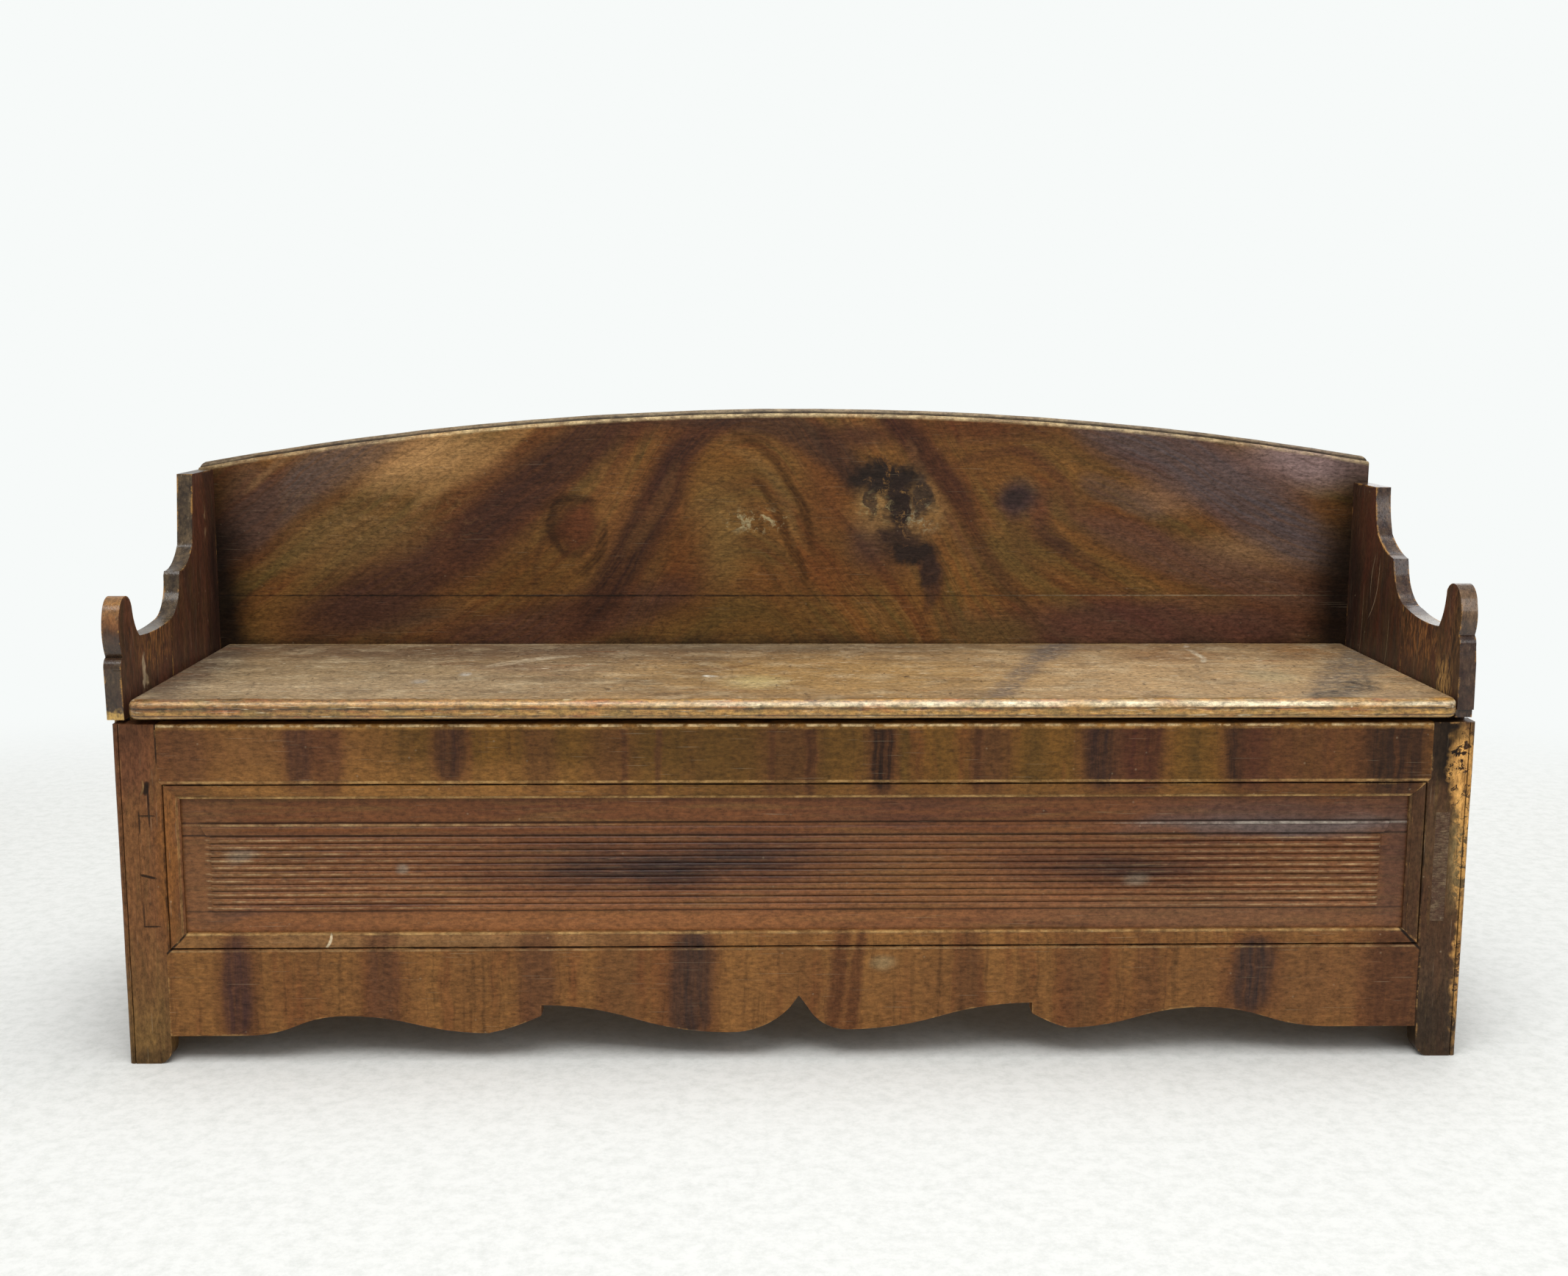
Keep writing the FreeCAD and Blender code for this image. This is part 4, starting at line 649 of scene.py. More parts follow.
def paint_stiles():
    """The stiles: brown to olive, with marks round the through-tenons, a knot, and bare wood where the right one has
    lost its paint."""
    material, tree, flat = new_material("grained oil paint, stiles")
    place = wavering(tree, flat, 5.0, 40.0)
    side = add(tree, "SeparateXYZ", {0: flat})
    x, z = side.outputs["X"], side.outputs["Z"]
    right = add(tree, "MapRange", {"Value": x, "From Min": -10.0, "From Max": 10.0})
    low = add(tree, "MapRange", {"Value": z, "From Min": 200.0, "From Max": 40.0})
    left_ground = glaze_over(tree, "#70472a", "#765831", low)
    right_ground = glaze_over(tree, "#4d3421", "#463628", low)
    ground = glaze_over(tree, left_ground, right_ground, right)
    ground = glaze_over(tree, ground, "#4c2f1d", streaks(tree, z, x, 150, 14, 1, 0.48, 0.68), 0.5)
    ground = glaze_over(tree, ground, "#6c5530", streaks(tree, z, x, 110, 10, 2, 0.52, 0.70), 0.4)
    ground = dab(tree, place, ground, [
        ("#7a5330", (-868, 270), (22, 130), 0.6, 0.5),
        ("#5a3626", (-868, 420), (26, 50), 0.6, 0.6),
        ("#875628", (-826, 270), (12, 110), 0.6, 0.7),
        ("#372417", (-875, 450), (30, 20), 0.7, 0.4),
        ("#140f08", (856, 432), (24, 44), 0.5, 0.97),
        ("#35261a", (835, 430), (24, 50), 0.6, 0.7),
        ("#543f2b", (850, 300), (16, 50), 0.7, 0.5),
        ("#7d6a45", (882, 290), (12, 70), 0.7, 0.7),
        ("#241a12", (850, 45), (60, 40), 0.7, 0.5),
        ("#2c2015", (-850, 8), (60, 14), 0.6, 0.5)])
    # Bare wood with dark upright splits and flakes of paint that still hold.
    splits = streaks(tree, z, x, 34, 2.4, 3, 0.56, 0.66)
    bare = glaze_over(tree, "#d9a35b", "#5f3c1c", splits, 0.85)
    bare = glaze_over(tree, bare, "#9c6c38", streaks(tree, z, x, 60, 9, 4, 0.45, 0.65), 0.6)
    torn = wavering(tree, flat, 6.0, 14.0)
    flakes = add(tree, "TexNoise", {"Vector": torn, "Scale": 1 / 12, "Detail": 5.0, "Roughness": 0.75})
    lost = add(tree, "MapRange", {"Value": flakes, "From Min": 0.56, "From Max": 0.53})
    ground = dab(tree, torn, ground, [
        ("#1d130c", (868, 405), (14, 52), 0.5, 0.85)])
    ground = dab(tree, torn, ground, [
        (bare, (883, -243, 396), (21, 26, 58), 0.35, 1.0),
        (bare, (889, -243, 310), (12, 26, 90), 0.5, 0.95),
        (bare, (893, -243, 150), (8, 20, 130), 0.6, 0.85)], lost)
    # Arrises of the stuck moulding and of the outer bead, left stile first: a pale worn line, partly painted highlight,
    # dark lines in the quirks as painted shade, and dark seams.
    ground = dab(tree, flat, ground, [
        ("#b38d57", (-812, 270), (1.4, 120), 0.5, 0.4),
        ("#20140b", (-830, 250), (1.2, 160), 0.5, 0.75),
        ("#20140b", (836, 270), (1.3, 120), 0.5, 0.8),
        ("#20140b", (-884, 230), (1.4, 260), 0.5, 0.5),
        ("#20140b", (888, 230), (1.4, 260), 0.5, 0.3)], broken(tree, flat, 30.0, 0.3))
    ground = brush(tree, flat, ground, [
        ("#120b06", (-849, 377), 80, 9, 3.5, 0, 0.5, 0.9),
        ("#8d6f46", (-853, 377), 80, 10, 1.2, 2, 0.5, 0.5),
        ("#1a100a", (-847, 352), 90, 26, 1.1, 0, 0.6, 0.85),
        ("#1e130c", (-850, 340), 0, 10, 1.0, 0, 0.6, 0.8),
        ("#1e130c", (-850, 190), 0, 10, 1.0, 0, 0.6, 0.8),
        ("#1e130c", (-860, 330), 90, 14, 1.0, 0, 0.6, 0.8),
        ("#1e130c", (-860, 205), 90, 16, 1.0, 0, 0.6, 0.7),
        ("#120b06", (-852, 258), -14, 10, 1.6, 0, 0.6, 0.9),
        ("#b0925f", (-831, 445), 90, 26, 1.0, 0, 0.5, 0.5),
        ("#24180f", (-834, 440), 90, 30, 1.2, 0, 0.5, 0.9)])
    # Handling never rubbed the flush ends of the tenons.
    near_left = add(tree, "Group", {"Place": flat, "Centre": (-850.0, 0.0, 265.0), "Outer": 1.3, "Radii": (20.0, FAR,
                                                                                                           90.0),
                                    "Inner": 1.1}, node_tree=SOFT_PATCH)
    near_right = add(tree, "Group", {"Place": flat, "Centre": (861.0, 0.0, 265.0), "Outer": 1.3, "Radii": (20.0, FAR,
                                                                                                           90.0),
                                     "Inner": 1.1}, node_tree=SOFT_PATCH)
    tenons = add(tree, "Math", {0: near_left, 1: near_right}, operation="MAXIMUM")
    rub = add(tree, "Math", {0: tenons, 1: -0.3, 2: 0.34}, operation="MULTIPLY_ADD")
    finish_wood(tree, flat, ground, along="Z", bare="#a97f4c", rub=rub, roughness=0.44, length=34.0, spacing=3.0,
                fibre=0.16, speck=0.45, pores=0.3)
    return material


def tenon_end():
    """The right tenon's end: paint worn off it, so the grey-brown end grain and its saw marks show."""
    material, tree, flat = new_material("worn end grain")
    hatch = add(tree, "Mapping", {"Vector": flat, "Rotation": (0.0, 0.5, 0.0), "Scale": (1 / 9, 1 / 12, 1 / 1.8)})
    rings = add(tree, "TexNoise", {"Vector": hatch, "Scale": 1.0, "Detail": 3.0, "Roughness": 0.7})
    late = add(tree, "MapRange", {"Value": rings, "From Min": 0.40, "From Max": 0.62})
    colour = glaze_over(tree, "#4c382a", "#75614a", late)
    colour = glaze_over(tree, colour, "#4a3026", broken(tree, flat, 26.0, 0.0), 0.6)
    finish_wood(tree, flat, colour, along="Y", rub=0.1, roughness=0.6, fibre=0.1, dirt_and_shade=0.5)
    return material


def paint_ends():
    """The scrolled ends: dark red-brown drawn down the faces, glossy olive on the sawn edges, and orange wood where
    hands and elbows rubbed."""
    material, tree, flat = new_material("grained oil paint, ends")
    place = wavering(tree, flat, 6.0, 40.0)
    split = add(tree, "SeparateXYZ", {0: place})
    y, z = split.outputs["Y"], split.outputs["Z"]
    side = add(tree, "MapRange", {"Value": split.outputs["X"], "From Min": -10.0, "From Max": 10.0})
    left_face = glaze_over(tree, "#3b251b", "#5c3625", streaks(tree, z, y, 130, 26, 1, 0.36, 0.64))
    right_face = glaze_over(tree, "#34251a", "#4d2b1d", streaks(tree, z, y, 130, 30, 5, 0.40, 0.64))
    face = glaze_over(tree, left_face, right_face, side)
    face = glaze_over(tree, face, "#4c3a22", streaks(tree, z, y, 90, 30, 2, 0.46, 0.66), 0.6)
    face = glaze_over(tree, face, "#25170f", streaks(tree, z, y, 60, 9, 3, 0.54, 0.70), 0.5)
    # Worn to the wood under the dip of the arm, in ragged upright dashes.
    ragged = streaks(tree, z, y, 26, 5, 4, 0.46, 0.58)
    face = dab(tree, place, face, [
        ("#8e5f33", (0, -96, 546), (FAR, 52, 34), 0.6, 0.9),
        ("#7f5230", (0, -40, 560), (FAR, 36, 50), 0.7, 0.6),
        ("#7d5c35", (880, -205, 560), (60, 20, 70), 0.7, 0.6),
        ("#c49a58", (880, -178, 512), (60, 22, 26), 0.7, 0.9),
        ("#6f4225", (0, -190, 560), (FAR, 30, 60), 0.7, 0.4)], ragged)
    # Darker at the back of each end, in the corner with the back: painted shade. A reddish patch high on the wing and a
    # dark front to the post.
    face = dab(tree, place, face, [
        ("#241610", (0, 196, 560), (FAR, 34, 200), 0.7, 0.6),
        ("#5f3220", (0, 120, 700), (FAR, 60, 60), 0.7, 0.5),
        ("#271813", (0, -215, 540), (FAR, 18, 70), 0.7, 0.3)])
    chipped = wavering(tree, flat, 5.0, 12.0)
    face = dab(tree, chipped, face, [
        ("#b5a283", (-880, -140, 516), (60, 7, 22), 0.3, 0.75),
        ("#a5906c", (-880, -128, 500), (60, 5, 9), 0.4, 0.7),
        ("#a08562", (-880, 165, 700), (60, 2.5, 12), 0.5, 0.5),
        ("#a08562", (-880, 168, 672), (60, 3, 7), 0.5, 0.5)])
    turned_up = add(tree, "VectorRotate", {"Vector": flat, "Angle": math.radians(90)}, rotation_type="Z_AXIS")
    right_only = add(tree, "Math", {0: side, 1: 0.55}, operation="MULTIPLY")
    # Long scratches on the right arm: the depth is turned to where a stroke reads x.
    face = brush(tree, turned_up, face, [
        ("#b9a487", (-95, 590), 68, 44, 0.9, 10, 0.6, 0.9),
        ("#b9a487", (-118, 615), 78, 30, 0.8, -4, 0.6, 0.8),
        ("#a08b6c", (-150, 540), 86, 50, 0.8, 3, 0.6, 0.8),
        ("#a08b6c", (-40, 530), 84, 34, 0.7, 3, 0.6, 0.8)], right_only)
    bent = add(tree, "TexNoise", {"Vector": place, "Scale": 1 / 20, "Detail": 5.0, "Roughness": 0.7})
    bloom = add(tree, "MapRange", {"Value": bent, "From Min": 0.40, "From Max": 0.62})
    left_edge = glaze_over(tree, "#33271b", "#574732", bloom)
    right_edge = glaze_over(tree, "#33231e", "#5c4735", bloom)
    edge = glaze_over(tree, left_edge, right_edge, side)
    edge = dab(tree, place, edge, [
        ("#3b271c", (0, -228, 520), (FAR, 26, 62), 0.4, 0.85),
        ("#a0703e", (-880, -195, 612), (60, 38, 32), 0.5, 0.85),
        ("#80654a", (880, -195, 612), (60, 38, 32), 0.5, 0.8),
        ("#7c4a26", (-880, -215, 590), (60, 22, 16), 0.6, 0.6),
        # A painted highlight: the pale grey strip along the dip of the arm.
        ("#8a8071", (0, -90, 575), (FAR, 40, 14), 0.6, 0.6)], broken(tree, place, 30.0, 0.5))
    edge = dab(tree, chipped, edge, [
        ("#bd9750", (-900, -226, 470), (60, 20, 9), 0.3, 0.9),
        ("#cdb069", (-868, -190, 606), (9, 26, 14), 0.4, 0.85)])
    turned = add(tree, "NewGeometry")
    facing = add(tree, "SeparateXYZ", {0: turned.outputs["True Normal"]})
    flatness = add(tree, "Math", {0: facing.outputs["X"]}, operation="ABSOLUTE")
    sawn = add(tree, "MapRange", {"Value": flatness, "From Min": 0.75, "From Max": 0.45})
    ground = glaze_over(tree, face, edge, sawn, 1.0)
    # The glue joint of each end, and bare wood inside the box, below the seat.
    ground = dab(tree, flat, ground, [("#120a06", (0, -16.5, 500), (FAR, 1.2, FAR), 0.5, 0.85)], broken(tree, flat,
                                                                                                        40.0, 0.5))
    inner_x = add(tree, "SeparateXYZ", {0: flat})
    apart = add(tree, "Math", {0: inner_x.outputs["X"]}, operation="ABSOLUTE")
    inside = add(tree, "MapRange", {"Value": apart, "From Min": INSIDE_BOX + 1, "From Max": INSIDE_BOX - 1})
    below = add(tree, "MapRange", {"Value": inner_x.outputs["Z"], "From Min": BARE_FROM, "From Max": BARE_TO})
    unpainted = add(tree, "Math", {0: inside, 1: below}, operation="MULTIPLY")
    ground = glaze_over(tree, ground, BARE_WOOD, unpainted, 0.95)
    gloss = add(tree, "MapRange", {"Value": sawn, "To Min": 0.46, "To Max": 0.18})
    finish_wood(tree, flat, ground, along="Z", bare="#b3823f", rub=0.36, roughness=gloss, scratched=0.35, specular=0.5,
                length=30.0, spacing=3.0, fibre=0.18, speck=0.5)
    return material


def paint_lid():
    """The lid: the same paint sat down to a thin golden film, greyer to the left and the back, partly as painted sheen
    and painted shade, with slanting bands.
    """
    material, tree, flat = new_material("worn oil paint, lid")
    place = wavering(tree, flat, 6.0, 70.0)
    # Its strokes lie in plan, so the depth is turned to where they read the height.
    plan = add(tree, "VectorRotate", {"Vector": place, "Angle": math.radians(90)}, rotation_type="X_AXIS")
    split = add(tree, "SeparateXYZ", {0: place})
    x, y, z = split.outputs["X"], split.outputs["Y"], split.outputs["Z"]
    ground = glaze_over(tree, "#9f7f56", "#7d6548", streaks(tree, x, y, 170, 60, 1, 0.36, 0.62))
    # Tone across the lid, partly painted light: paler and greyer at the left front and brighter at the right as painted
    # sheen, darker to the back and at the left end by the arm as painted shade.
    ground = dab(tree, plan, ground, [
        ("#988262", (-600, -60), (330, 220), 0.7, 0.75),
        ("#69523d", (-480, 150), (440, 80), 0.7, 0.8),
        ("#a58d6c", (-640, -150), (260, 60), 0.8, 0.7),
        ("#5d4d3e", (-850, 0), (52, 260), 0.6, 0.85),
        ("#bb9b70", (560, -60), (330, 200), 0.7, 0.7),
        ("#a47f48", (60, -60), (240, 140), 0.7, 0.6),
        ("#74654f", (-60, 190), (320, 34), 0.7, 0.7),
        ("#7f6149", (-390, 0), (70, 34), 0.8, 0.5),
        ("#8b6440", (565, 110), (60, 60), 0.8, 0.6),
        ("#8e6238", (778, 140), (40, 60), 0.8, 0.6),
        ("#806a55", (465, 185), (30, 24), 0.8, 0.6),
        ("#bba873", (-52, -108), (36, 44), 0.7, 0.7),
        ("#ac9d77", (668, -70), (34, 44), 0.8, 0.6)])
    # Grime in blotches, and the grey bloom where the varnish has gone.
    ground = glaze_over(tree, ground, "#4a3a2c", streaks(tree, x, y, 90, 56, 2, 0.48, 0.68), 0.42)
    ground = glaze_over(tree, ground, "#c4b08c", streaks(tree, x, y, 70, 46, 3, 0.50, 0.68), 0.4)
    ground = glaze_over(tree, ground, "#8d4f26", streaks(tree, x, y, 190, 12, 4, 0.60, 0.72), 0.5)
    ground = glaze_over(tree, ground, "#3a2c1e", streaks(tree, x, y, 10, 30, 8, 0.62, 0.68), 0.6)
    rubbed = broken(tree, place, 14.0, 0.35)
    ground = brush(tree, plan, ground, [
        ("#6f6052", (338, 2), 70.3, 260, 14, -6, 0.8, 0.85),
        ("#6c6157", (398, 150), 68.0, 90, 24, 0, 0.8, 0.7),
        ("#6c5f52", (795, -25), 65.0, 250, 30, -6, 0.8, 0.85),
        ("#463e35", (770, -142), 60.0, 44, 18, 0, 0.8, 0.9),
        ("#463e35", (702, -214), 50.0, 34, 14, 0, 0.8, 0.9),
        ("#c0ae90", (-387, 67), 40.0, 62, 11, -8, 0.8, 0.8),
        ("#6f4f2e", (-99, -2), 43.0, 60, 8, 0, 0.8, 0.8),
        ("#cfc3a8", (611, 98), 84.0, 50, 4, 6, 0.8, 0.7)], rubbed)
    ground = dab(tree, plan, ground, [
        ("#e0dccd", (-117, -70), (9, 7), 0.5, 0.9),
        ("#c4c4bc", (-457, -52), (7, 14), 0.5, 0.5),
        ("#b7b7b2", (-514, -105), (10, 16), 0.6, 0.4),
        ("#d0c4b0", (615, 188), (5, 9), 0.5, 0.7)], rubbed)
    # Dents and scratches catch dust: pale nicks across the grain.
    for turn, long, wide, least in ((1.25, 30, 2.4, 0.68), (-1.1, 40, 2.6, 0.70), (0.2, 30, 6.0, 0.69)):
        nicks = add(tree, "Mapping", {"Vector": flat, "Rotation": (0.0, 0.0, turn), "Scale": (1 / long, 1 / wide, 0.0)})
        nick_lines = add(tree, "TexNoise", {"Vector": nicks, "Scale": 1.0, "Detail": 2.0})
        nicked = add(tree, "MapRange", {"Value": nick_lines, "From Min": least, "From Max": least + 0.05})
        ground = glaze_over(tree, ground, "#e0d6bc", nicked, 0.75)
    # The nose: wood rubbed golden, grooved along its grain, pale on its upper arris and dark underneath; at the right
    # the pale upper arris is a painted highlight, and the thin pale streaks are worn ridges that are partly painted
    # glints.
    nose = add(tree, "MapRange", {"Value": y, "From Min": -228.0, "From Max": -236.0})
    left = add(tree, "MapRange", {"Value": x, "From Min": -200.0, "From Max": -760.0})
    level = add(tree, "SeparateXYZ", {0: flat}).outputs["Z"]
    wood = glaze_over(tree, "#a87b3e", "#7d532c", left)
    wood = glaze_over(tree, wood, "#6f6032", streaks(tree, x, level, 36, 12, 7, 0.46, 0.60), 0.6)
    wood = glaze_over(tree, wood, "#a3552a", streaks(tree, x, level, 60, 9, 8, 0.52, 0.64), 0.6)
    wood = dab(tree, flat, wood, [
        # Painted highlight: the cream band along the upper arris at the right.
        ("#f6e6c2", (380, 489.4), (560, 3.2), 0.5, 0.95),
        ("#c9a26c", (-560, 490.5), (420, 2.4), 0.6, 0.7),
        ("#3a2714", (0, 484.0), (FAR, 1.3), 0.5, 0.85),
        ("#b78d48", (0, 477.5), (FAR, 2.6), 0.6, 0.6),
        ("#3a2714", (0, 474.6), (FAR, 1.2), 0.5, 0.75),
        ("#caa666", (0, 472.2), (FAR, 1.2), 0.6, 0.7)], streaks(tree, x, level, 110, 30, 9, 0.34, 0.56, 0.2))
    wood = glaze_over(tree, wood, "#2c1b0d", streaks(tree, x, level, 34, 2.6, 5, 0.58, 0.66), 0.5)
    # Thin pale streaks: worn ridges, partly painted glints.
    wood = glaze_over(tree, wood, "#e9d9b3", streaks(tree, x, level, 40, 2.4, 6, 0.60, 0.68), 0.5)
    ground = glaze_over(tree, ground, wood, nose, 0.9)
    gloss = add(tree, "MapRange", {"Value": nose, "To Min": 0.42, "To Max": 0.26})
    finish_wood(tree, flat, ground, bare="#cfa866", rub=0.4, roughness=gloss, scratched=0.6, fibre=0.16, speck=0.6,
                marks="#d6c7a4", specular=0.5, length=34.0, spacing=3.4)
    return material


# Scots pine, planed and never painted: pale straw gone brown with age, dry, with clear growth bands.


def bare_pine(name, along, pale="#a98a60", dark="#8d6c45"):
    """Unpainted pine, dulled by age, with its grain along one axis and each board a little different."""
    material, tree, flat = new_material(name)
    wide = {"X": (1 / 700, 1 / 6, 1 / 6), "Y": (1 / 6, 1 / 700, 1 / 6), "Z": (1 / 6, 1 / 6, 1 / 700)}[along]
    sway = wavering(tree, flat, 7.0, 300.0)
    drawn = add(tree, "VectorMath", {0: sway, 1: wide}, operation="MULTIPLY")
    rings = add(tree, "TexNoise", {"Vector": drawn, "Scale": 1.0, "Detail": 4.0, "Roughness": 0.65})
    late = add(tree, "MapRange", {"Value": rings, "From Min": 0.30, "From Max": 0.70})
    stain = add(tree, "TexNoise", {"Vector": flat, "Scale": 1 / 120, "Detail": 5.0, "Roughness": 0.65})
    soiled = add(tree, "MapRange", {"Value": stain, "From Min": 0.36, "From Max": 0.70})
    colour = glaze_over(tree, pale, dark, late)
    colour = glaze_over(tree, colour, "#5d4630", soiled, 0.6)
    # The middle plank of the back is a shade redder, between two dark joints.
    colour = dab(tree, flat, colour, [
        ("#8a6a45", (0, 445), (FAR, 125), 0.02, 0.45),
        ("#22160c", (0, 320), (FAR, 1.2), 0.5, 0.8),
        ("#22160c", (0, 570), (FAR, 1.2), 0.5, 0.8)])
    finish_wood(tree, flat, colour, along=along, bare="#b99a6c", rub=0.15, roughness=0.7, specular=0.15, fibre=0.14,
                speck=0.35, scratched=0.15, bump=0.35)
    return material


# Hand-forged iron nails: dark, rough and a little rusty.


def forged_iron():
    """Nail iron."""
    material, tree, flat = new_material("forged iron")
    rust = add(tree, "TexNoise", {"Vector": flat, "Scale": 1 / 3, "Detail": 3.0})
    patchy = add(tree, "MapRange", {"Value": rust, "From Min": 0.4, "From Max": 0.6})
    colour = glaze_over(tree, "#3b3735", "#5a3823", patchy)
    relief = add(tree, "Bump", {"Height": rust, "Strength": 0.4, "Distance": 0.4 * MM})
    rough = add(tree, "MapRange", {"Value": rust, "To Min": 0.45, "To Max": 0.85})
    shader = add(tree, "BsdfPrincipled", {"Base Color": colour, "Roughness": rough, "Metallic": 0.8, "Normal": relief})
    add(tree, "OutputMaterial", {"Surface": shader})
    return material


BACK_PAINT = paint_back()
RAIL_PAINT = paint_rails()
PANEL_PAINT = paint_panel()
STILE_PAINT = paint_stiles()
END_PAINT = paint_ends()
LID_PAINT = paint_lid()
TENON_END = tenon_end()
PINE_X = bare_pine("bare pine, grain across", "X")
PINE_Y = bare_pine("bare pine, grain front to back", "Y")
PINE_Z = bare_pine("bare pine, grain upright", "Z")
IRON = forged_iron()


# ---- boards ----


# One field of waves for all the boards, so that neighbours stay in touch: 0.5 mm high and some 90 mm long. The side
# boards of the pull-out run close past their guides and stay flat.
WAVE = 0.5
WAVE_STEP = 30.0
ARRIS = math.radians(40)  # edges that turn more than this are eased
STRAIGHT = 0.7  # a normal this far along an axis belongs to a face that looks that way
PLANE_MARKS = bpy.data.textures.new("hand_plane", "CLOUDS")
PLANE_MARKS.noise_scale = 90 * MM
PLANE_MARKS.cloud_type = "COLOR"


def worn_copy(node, ease, finish, other, is_other, waved=True, sawn=None):
    """A copy of a board with eased arrises and the slight waves that a hand plane leaves. Faces where
    is_other(centre, normal) is true get the other finish, and its left and right ends the sawn one, if given."""
    source = cad[node]
    bpy.ops.object.select_all(action="DESELECT")
    piece = source.copy()
    piece.data = source.data.copy()
    piece.name = node + "_board"
    bpy.context.collection.objects.link(piece)
    piece.parent = None
    piece.matrix_world = Matrix()
    piece.select_set(True)
    bpy.context.view_layer.objects.active = piece
    bpy.ops.object.mode_set(mode="EDIT")
    bpy.ops.mesh.select_mode(type="EDGE")
    bpy.ops.mesh.select_all(action="SELECT")
    bpy.ops.mesh.remove_doubles(threshold=0.02 * MM)
    bpy.ops.mesh.dissolve_limited(angle_limit=math.radians(0.3))
    low, high = (Vector(corner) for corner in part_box(node))
    size = high - low
    axis = max(range(3), key=lambda i: size[i])
    normal = [1.0 if i == axis else 0.0 for i in range(3)]
    cuts = int(size[axis] / (WAVE_STEP * MM))
    for cut in range(1, cuts):
        bpy.ops.mesh.select_all(action="SELECT")
        bpy.ops.mesh.bisect(plane_co=low + size * (cut / cuts), plane_no=normal)
    bpy.ops.mesh.select_all(action="DESELECT")
    mesh = bmesh.from_edit_mesh(piece.data)
    for edge in mesh.edges:
        long_enough = edge.calc_length() > 2.5 * ease * MM or len(edge.link_faces) != 2
        if edge.is_manifold and edge.is_convex and edge.calc_face_angle() > ARRIS and long_enough:
            edge.select_set(True)
    bmesh.update_edit_mesh(piece.data)
    bpy.ops.mesh.bevel(offset=ease * MM, segments=2, affect="EDGES", clamp_overlap=True)
    bpy.ops.object.mode_set(mode="OBJECT")
    if waved:
        waves = piece.modifiers.new("hand planing", "DISPLACE")
        waves.texture = PLANE_MARKS
        waves.texture_coords = "LOCAL"
        waves.direction = "RGB_TO_XYZ"
        waves.strength = 2 * WAVE * MM
        bpy.ops.object.modifier_apply(modifier=waves.name)
    piece.data.materials.clear()
    piece.data.materials.append(finish)
    piece.data.materials.append(other)
    piece.data.materials.append(sawn or finish)
    for face in piece.data.polygons:
        face.material_index = 1 if is_other(face.center / MM, face.normal) else 0
        if sawn and abs(face.normal.x) > STRAIGHT:
            face.material_index = 2
    bpy.ops.object.shade_smooth_by_angle(angle=math.radians(32))
    even = piece.modifiers.new("flat faces", "WEIGHTED_NORMAL")
    even.keep_sharp = True
    bpy.ops.object.modifier_apply(modifier=even.name)
    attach(piece, body_of(source)[0])
    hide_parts(node)
    return piece


def dress(names, material):
    """CAD nodes that keep their shape get their finish."""
    for name in names:
        cad[name].data.materials.clear()
        cad[name].data.materials.append(material)


def rear(centre, normal):
    """Faces that look to the back."""
    return normal.y > STRAIGHT


def under(centre, normal):
    """Faces that look down."""
    return normal.z < -STRAIGHT


def tenon_face(centre, normal):
    """The end of a tenon that shows in the stile's face."""
    return normal.y < -STRAIGHT and centre.y < -228


for name in ("back_top_plank", "back_middle_plank"):
    worn_copy(name, 0.6, BACK_PAINT, PINE_X, rear, sawn=END_PAINT)
worn_copy("back_bottom_plank", 0.6, PINE_X, PINE_X, rear, sawn=END_PAINT)
for name in ("left_end_front_board", "left_end_rear_board", "right_end_front_board", "right_end_rear_board"):
    worn_copy(name, 1.2, END_PAINT, PINE_Z, under)
for name in ("front_top_rail", "front_bottom_rail"):
    worn_copy(name, 0.5, RAIL_PAINT, PINE_X, rear)
for name in ("left_front_stile", "right_front_stile"):
    worn_copy(name, 0.6, STILE_PAINT, PINE_Z, rear)
worn_copy("front_panel", 0.4, PANEL_PAINT, PINE_X, rear)
worn_copy("lid_board", 0.8, LID_PAINT, PINE_X, under)

for name, end in (("left_pull_out_side", STILE_PAINT), ("right_pull_out_side", TENON_END)):
    worn_copy(name, 0.15, PINE_Y, end, tenon_face, waved=False)

dress(["left_lid_cleat", "right_lid_cleat", "left_runner", "right_runner", "left_pull_out_stop", "right_pull_out_stop",
       "left_lid_batten", "right_lid_batten"], PINE_Y)
dress(["rear_lid_cleat", "slat_bearer", "rear_slat_ledge", "front_slat_ledge"], PINE_X)
dress([f"fixed_slat_{i}" for i in range(1, 10)] + [f"sliding_slat_{i}" for i in range(1, 9)], PINE_Y)
dress(["left_tenon_wedge"], STILE_PAINT)
dress(["back_nails"], IRON)


# ---- nails ----


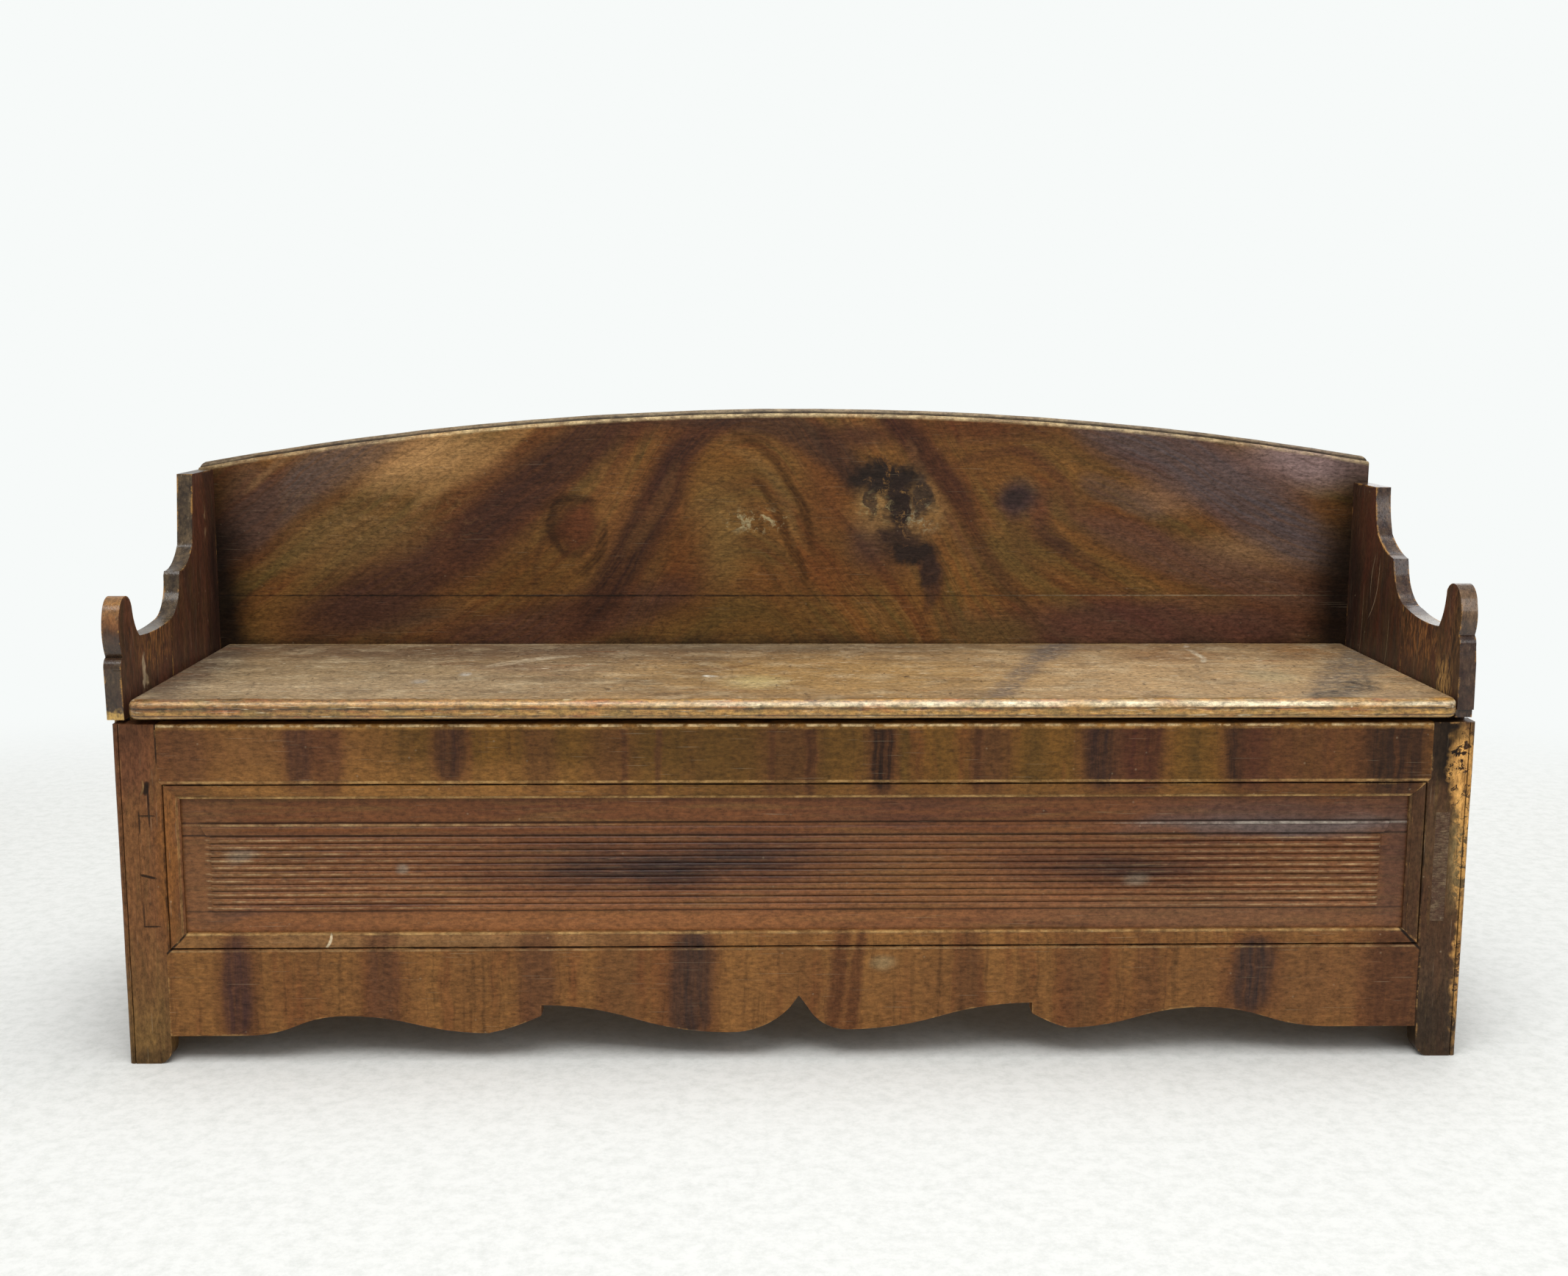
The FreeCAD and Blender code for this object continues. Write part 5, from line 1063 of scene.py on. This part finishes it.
def nail_heads(name, nodes, spots, rides):
    """Forged nail heads of 7 mm, each driven nearly flush in the top of a slat, given as share of its width and
    distance from its front end in mm (from its rear end when negative)."""
    heads = []
    for node in nodes:
        low, high = (Vector(corner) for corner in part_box(node))
        for share, distance in spots:
            y = low.y + distance * MM if distance > 0 else high.y + distance * MM
            x = low.x + share * (high.x - low.x)
            if heads:
                bpy.ops.object.select_all(action="DESELECT")
                heads[0].select_set(True)
                bpy.context.view_layer.objects.active = heads[0]
                bpy.ops.object.duplicate()
            else:
                bpy.ops.object.select_all(action="DESELECT")
                bpy.ops.mesh.primitive_uv_sphere_add(segments=10, ring_count=6, radius=3.5 * MM)
                bpy.context.active_object.scale = (1.0, 0.85, 0.35)
            head = bpy.context.active_object
            head.location = (x, y, high.z)
            head.rotation_euler = (0.0, 0.0, 2.4 * len(heads))
            heads.append(head)
    for head in heads:
        head.select_set(True)
    bpy.context.view_layer.objects.active = heads[0]
    bpy.ops.object.transform_apply(location=True, rotation=True, scale=True)
    bpy.ops.object.join()
    joined = bpy.context.active_object
    joined.name = name
    joined.data.materials.append(IRON)
    bpy.ops.object.shade_smooth()
    bpy.ops.object.origin_set(type="ORIGIN_CURSOR")
    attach(joined, rides)


nail_heads("fixed_slat_nails", [f"fixed_slat_{i}" for i in range(1, 10)], [(0.5, 18.0), (0.5, -14.0)], "carcass")
nail_heads("sliding_slat_nails", [f"sliding_slat_{i}" for i in range(1, 9)], [(0.3, 14.0), (0.7, 14.0)], "pull_out")


# ---- floor, light and camera ----


WALL_WHITE = "#f7faf9"


def pale_floor():
    """A painted studio floor, off-white and slightly rough, that fades into the white background. Close to the bench
    the camera sees the floor as lit, with its shadow, and further off more and more of it as plain white."""
    bpy.ops.object.select_all(action="DESELECT")
    bpy.ops.mesh.primitive_plane_add(size=12.0, location=(0, 0, 0))
    floor = bpy.context.active_object
    floor.name = "studio_floor"
    material = bpy.data.materials.new("off-white floor paint")
    material.use_nodes = True
    tree = material.node_tree
    tree.nodes.clear()
    where = add(tree, "TexCoord").outputs["Object"]
    grain = add(tree, "TexNoise", {"Vector": where, "Scale": 42.0, "Detail": 6.0, "Roughness": 0.85})
    tone = add(tree, "MapRange", {"Value": grain, "From Min": 0.32, "From Max": 0.56})
    colour = glaze_over(tree, "#dee0db", "#f3f4f0", tone)
    paint = add(tree, "BsdfPrincipled", {"Base Color": colour, "Roughness": 0.9, "Specular IOR Level": 0.1})
    plain = glaze_over(tree, "#eceeea", "#f9faf7", tone)
    apart = add(tree, "VectorMath", {0: where}, operation="ABSOLUTE")
    apart = add(tree, "VectorMath", {0: apart, 1: (0.86, 0.22, 0.0)}, operation="SUBTRACT")
    apart = add(tree, "VectorMath", {0: apart}, operation="MAXIMUM")
    apart = add(tree, "VectorMath", {0: apart}, operation="LENGTH").outputs["Value"]
    near = add(tree, "MapRange", {"Value": apart, "From Max": 0.35, "To Max": 0.45}, interpolation_type="SMOOTHSTEP")
    far = add(tree, "MapRange", {"Value": apart, "From Min": 0.8, "From Max": 2.2, "To Max": 0.55},
              interpolation_type="SMOOTHSTEP")
    fade = add(tree, "Math", {0: near, 1: far}, operation="ADD")
    plain = glaze_over(tree, plain, WALL_WHITE, far, 1 / 0.55)
    white = add(tree, "Emission", {"Color": plain, "Strength": 1.0})
    seen = add(tree, "LightPath")
    share = add(tree, "Math", {0: fade, 1: seen.outputs["Is Camera Ray"]}, operation="MULTIPLY")
    both = add(tree, "MixShader", {0: share, 1: paint, 2: white})
    add(tree, "OutputMaterial", {"Surface": both})
    floor.data.materials.append(material)


def soft_box(name, place, target, width, depth, power):
    """A large softbox aimed at a point."""
    lamp = bpy.data.lights.new(name, "AREA")
    lamp.shape = "RECTANGLE"
    lamp.size = width
    lamp.size_y = depth
    lamp.energy = power
    holder = bpy.data.objects.new(name, lamp)
    bpy.context.collection.objects.link(holder)
    holder.location = place
    holder.rotation_euler = (Vector(target) - Vector(place)).to_track_quat("-Z", "Y").to_euler()
    return holder


def light_room():
    """White behind the bench, as the camera and transmission rays see it, and an even light at a plain level."""
    world = bpy.data.worlds.new("white studio")
    bpy.context.scene.world = world
    world.use_nodes = True
    tree = world.node_tree
    tree.nodes.clear()
    light = add(tree, "Background", {"Color": "#ffffff", "Strength": 0.50})
    white = add(tree, "Background", {"Color": WALL_WHITE, "Strength": 1.0})
    seen = add(tree, "LightPath")
    clear = add(tree, "Math", {0: seen.outputs["Is Camera Ray"], 1: seen.outputs["Is Transmission Ray"]},
                operation="MAXIMUM")
    both = add(tree, "MixShader", {0: clear, 1: light, 2: white})
    add(tree, "OutputWorld", {"Surface": both})
    soft_box("key softbox", (-0.6, -2.3, 3.3), (0.0, 0.0, 0.4), 3.0, 1.4, 56.0)
    soft_box("overhead softbox", (0.3, -0.2, 3.0), (0.0, 0.0, 0.4), 3.0, 1.6, 42.0)
    soft_box("window softbox", (1.9, -2.4, 1.7), (0.3, 0.0, 0.5), 0.8, 1.2, 7.0)
    wall_light = soft_box("wall softbox", (0.7, 2.6, 1.5), (0.0, 0.0, 0.5), 3.6, 1.8, 17.0)
    wall_light.visible_camera = False


# The photograph's width and the focal length that was fitted to it, in pixels.
PHOTO_WIDTH = 2133
FOCAL = 2456.3


def place_camera():
    """The photograph's viewpoint: 0.94 m up and 2.3 m in front, looking 9 degrees down and a little to the right."""
    yaw, pitch, roll = (math.radians(a) for a in (1.463, 8.961, 0.201))
    level = Vector((math.sin(yaw), math.cos(yaw), 0))
    right = Vector((math.cos(yaw), -math.sin(yaw), 0))
    ahead = level * math.cos(pitch) - Vector((0, 0, 1)) * math.sin(pitch)
    above = Vector((0, 0, 1)) * math.cos(pitch) + level * math.sin(pitch)
    across = right * math.cos(roll) + above * math.sin(roll)
    upward = above * math.cos(roll) - right * math.sin(roll)
    data = bpy.data.cameras.new("camera")
    data.sensor_width = 36.0
    data.lens = data.sensor_width * FOCAL / PHOTO_WIDTH
    camera = bpy.data.objects.new("camera", data)
    bpy.context.collection.objects.link(camera)
    turn = Matrix((across, upward, -ahead)).transposed().to_4x4()
    camera.matrix_world = Matrix.Translation((-0.07765, -2.5434, 0.9396)) @ turn
    bpy.context.scene.camera = camera


pale_floor()
light_room()
place_camera()
bpy.context.scene.view_settings.view_transform = "Standard"
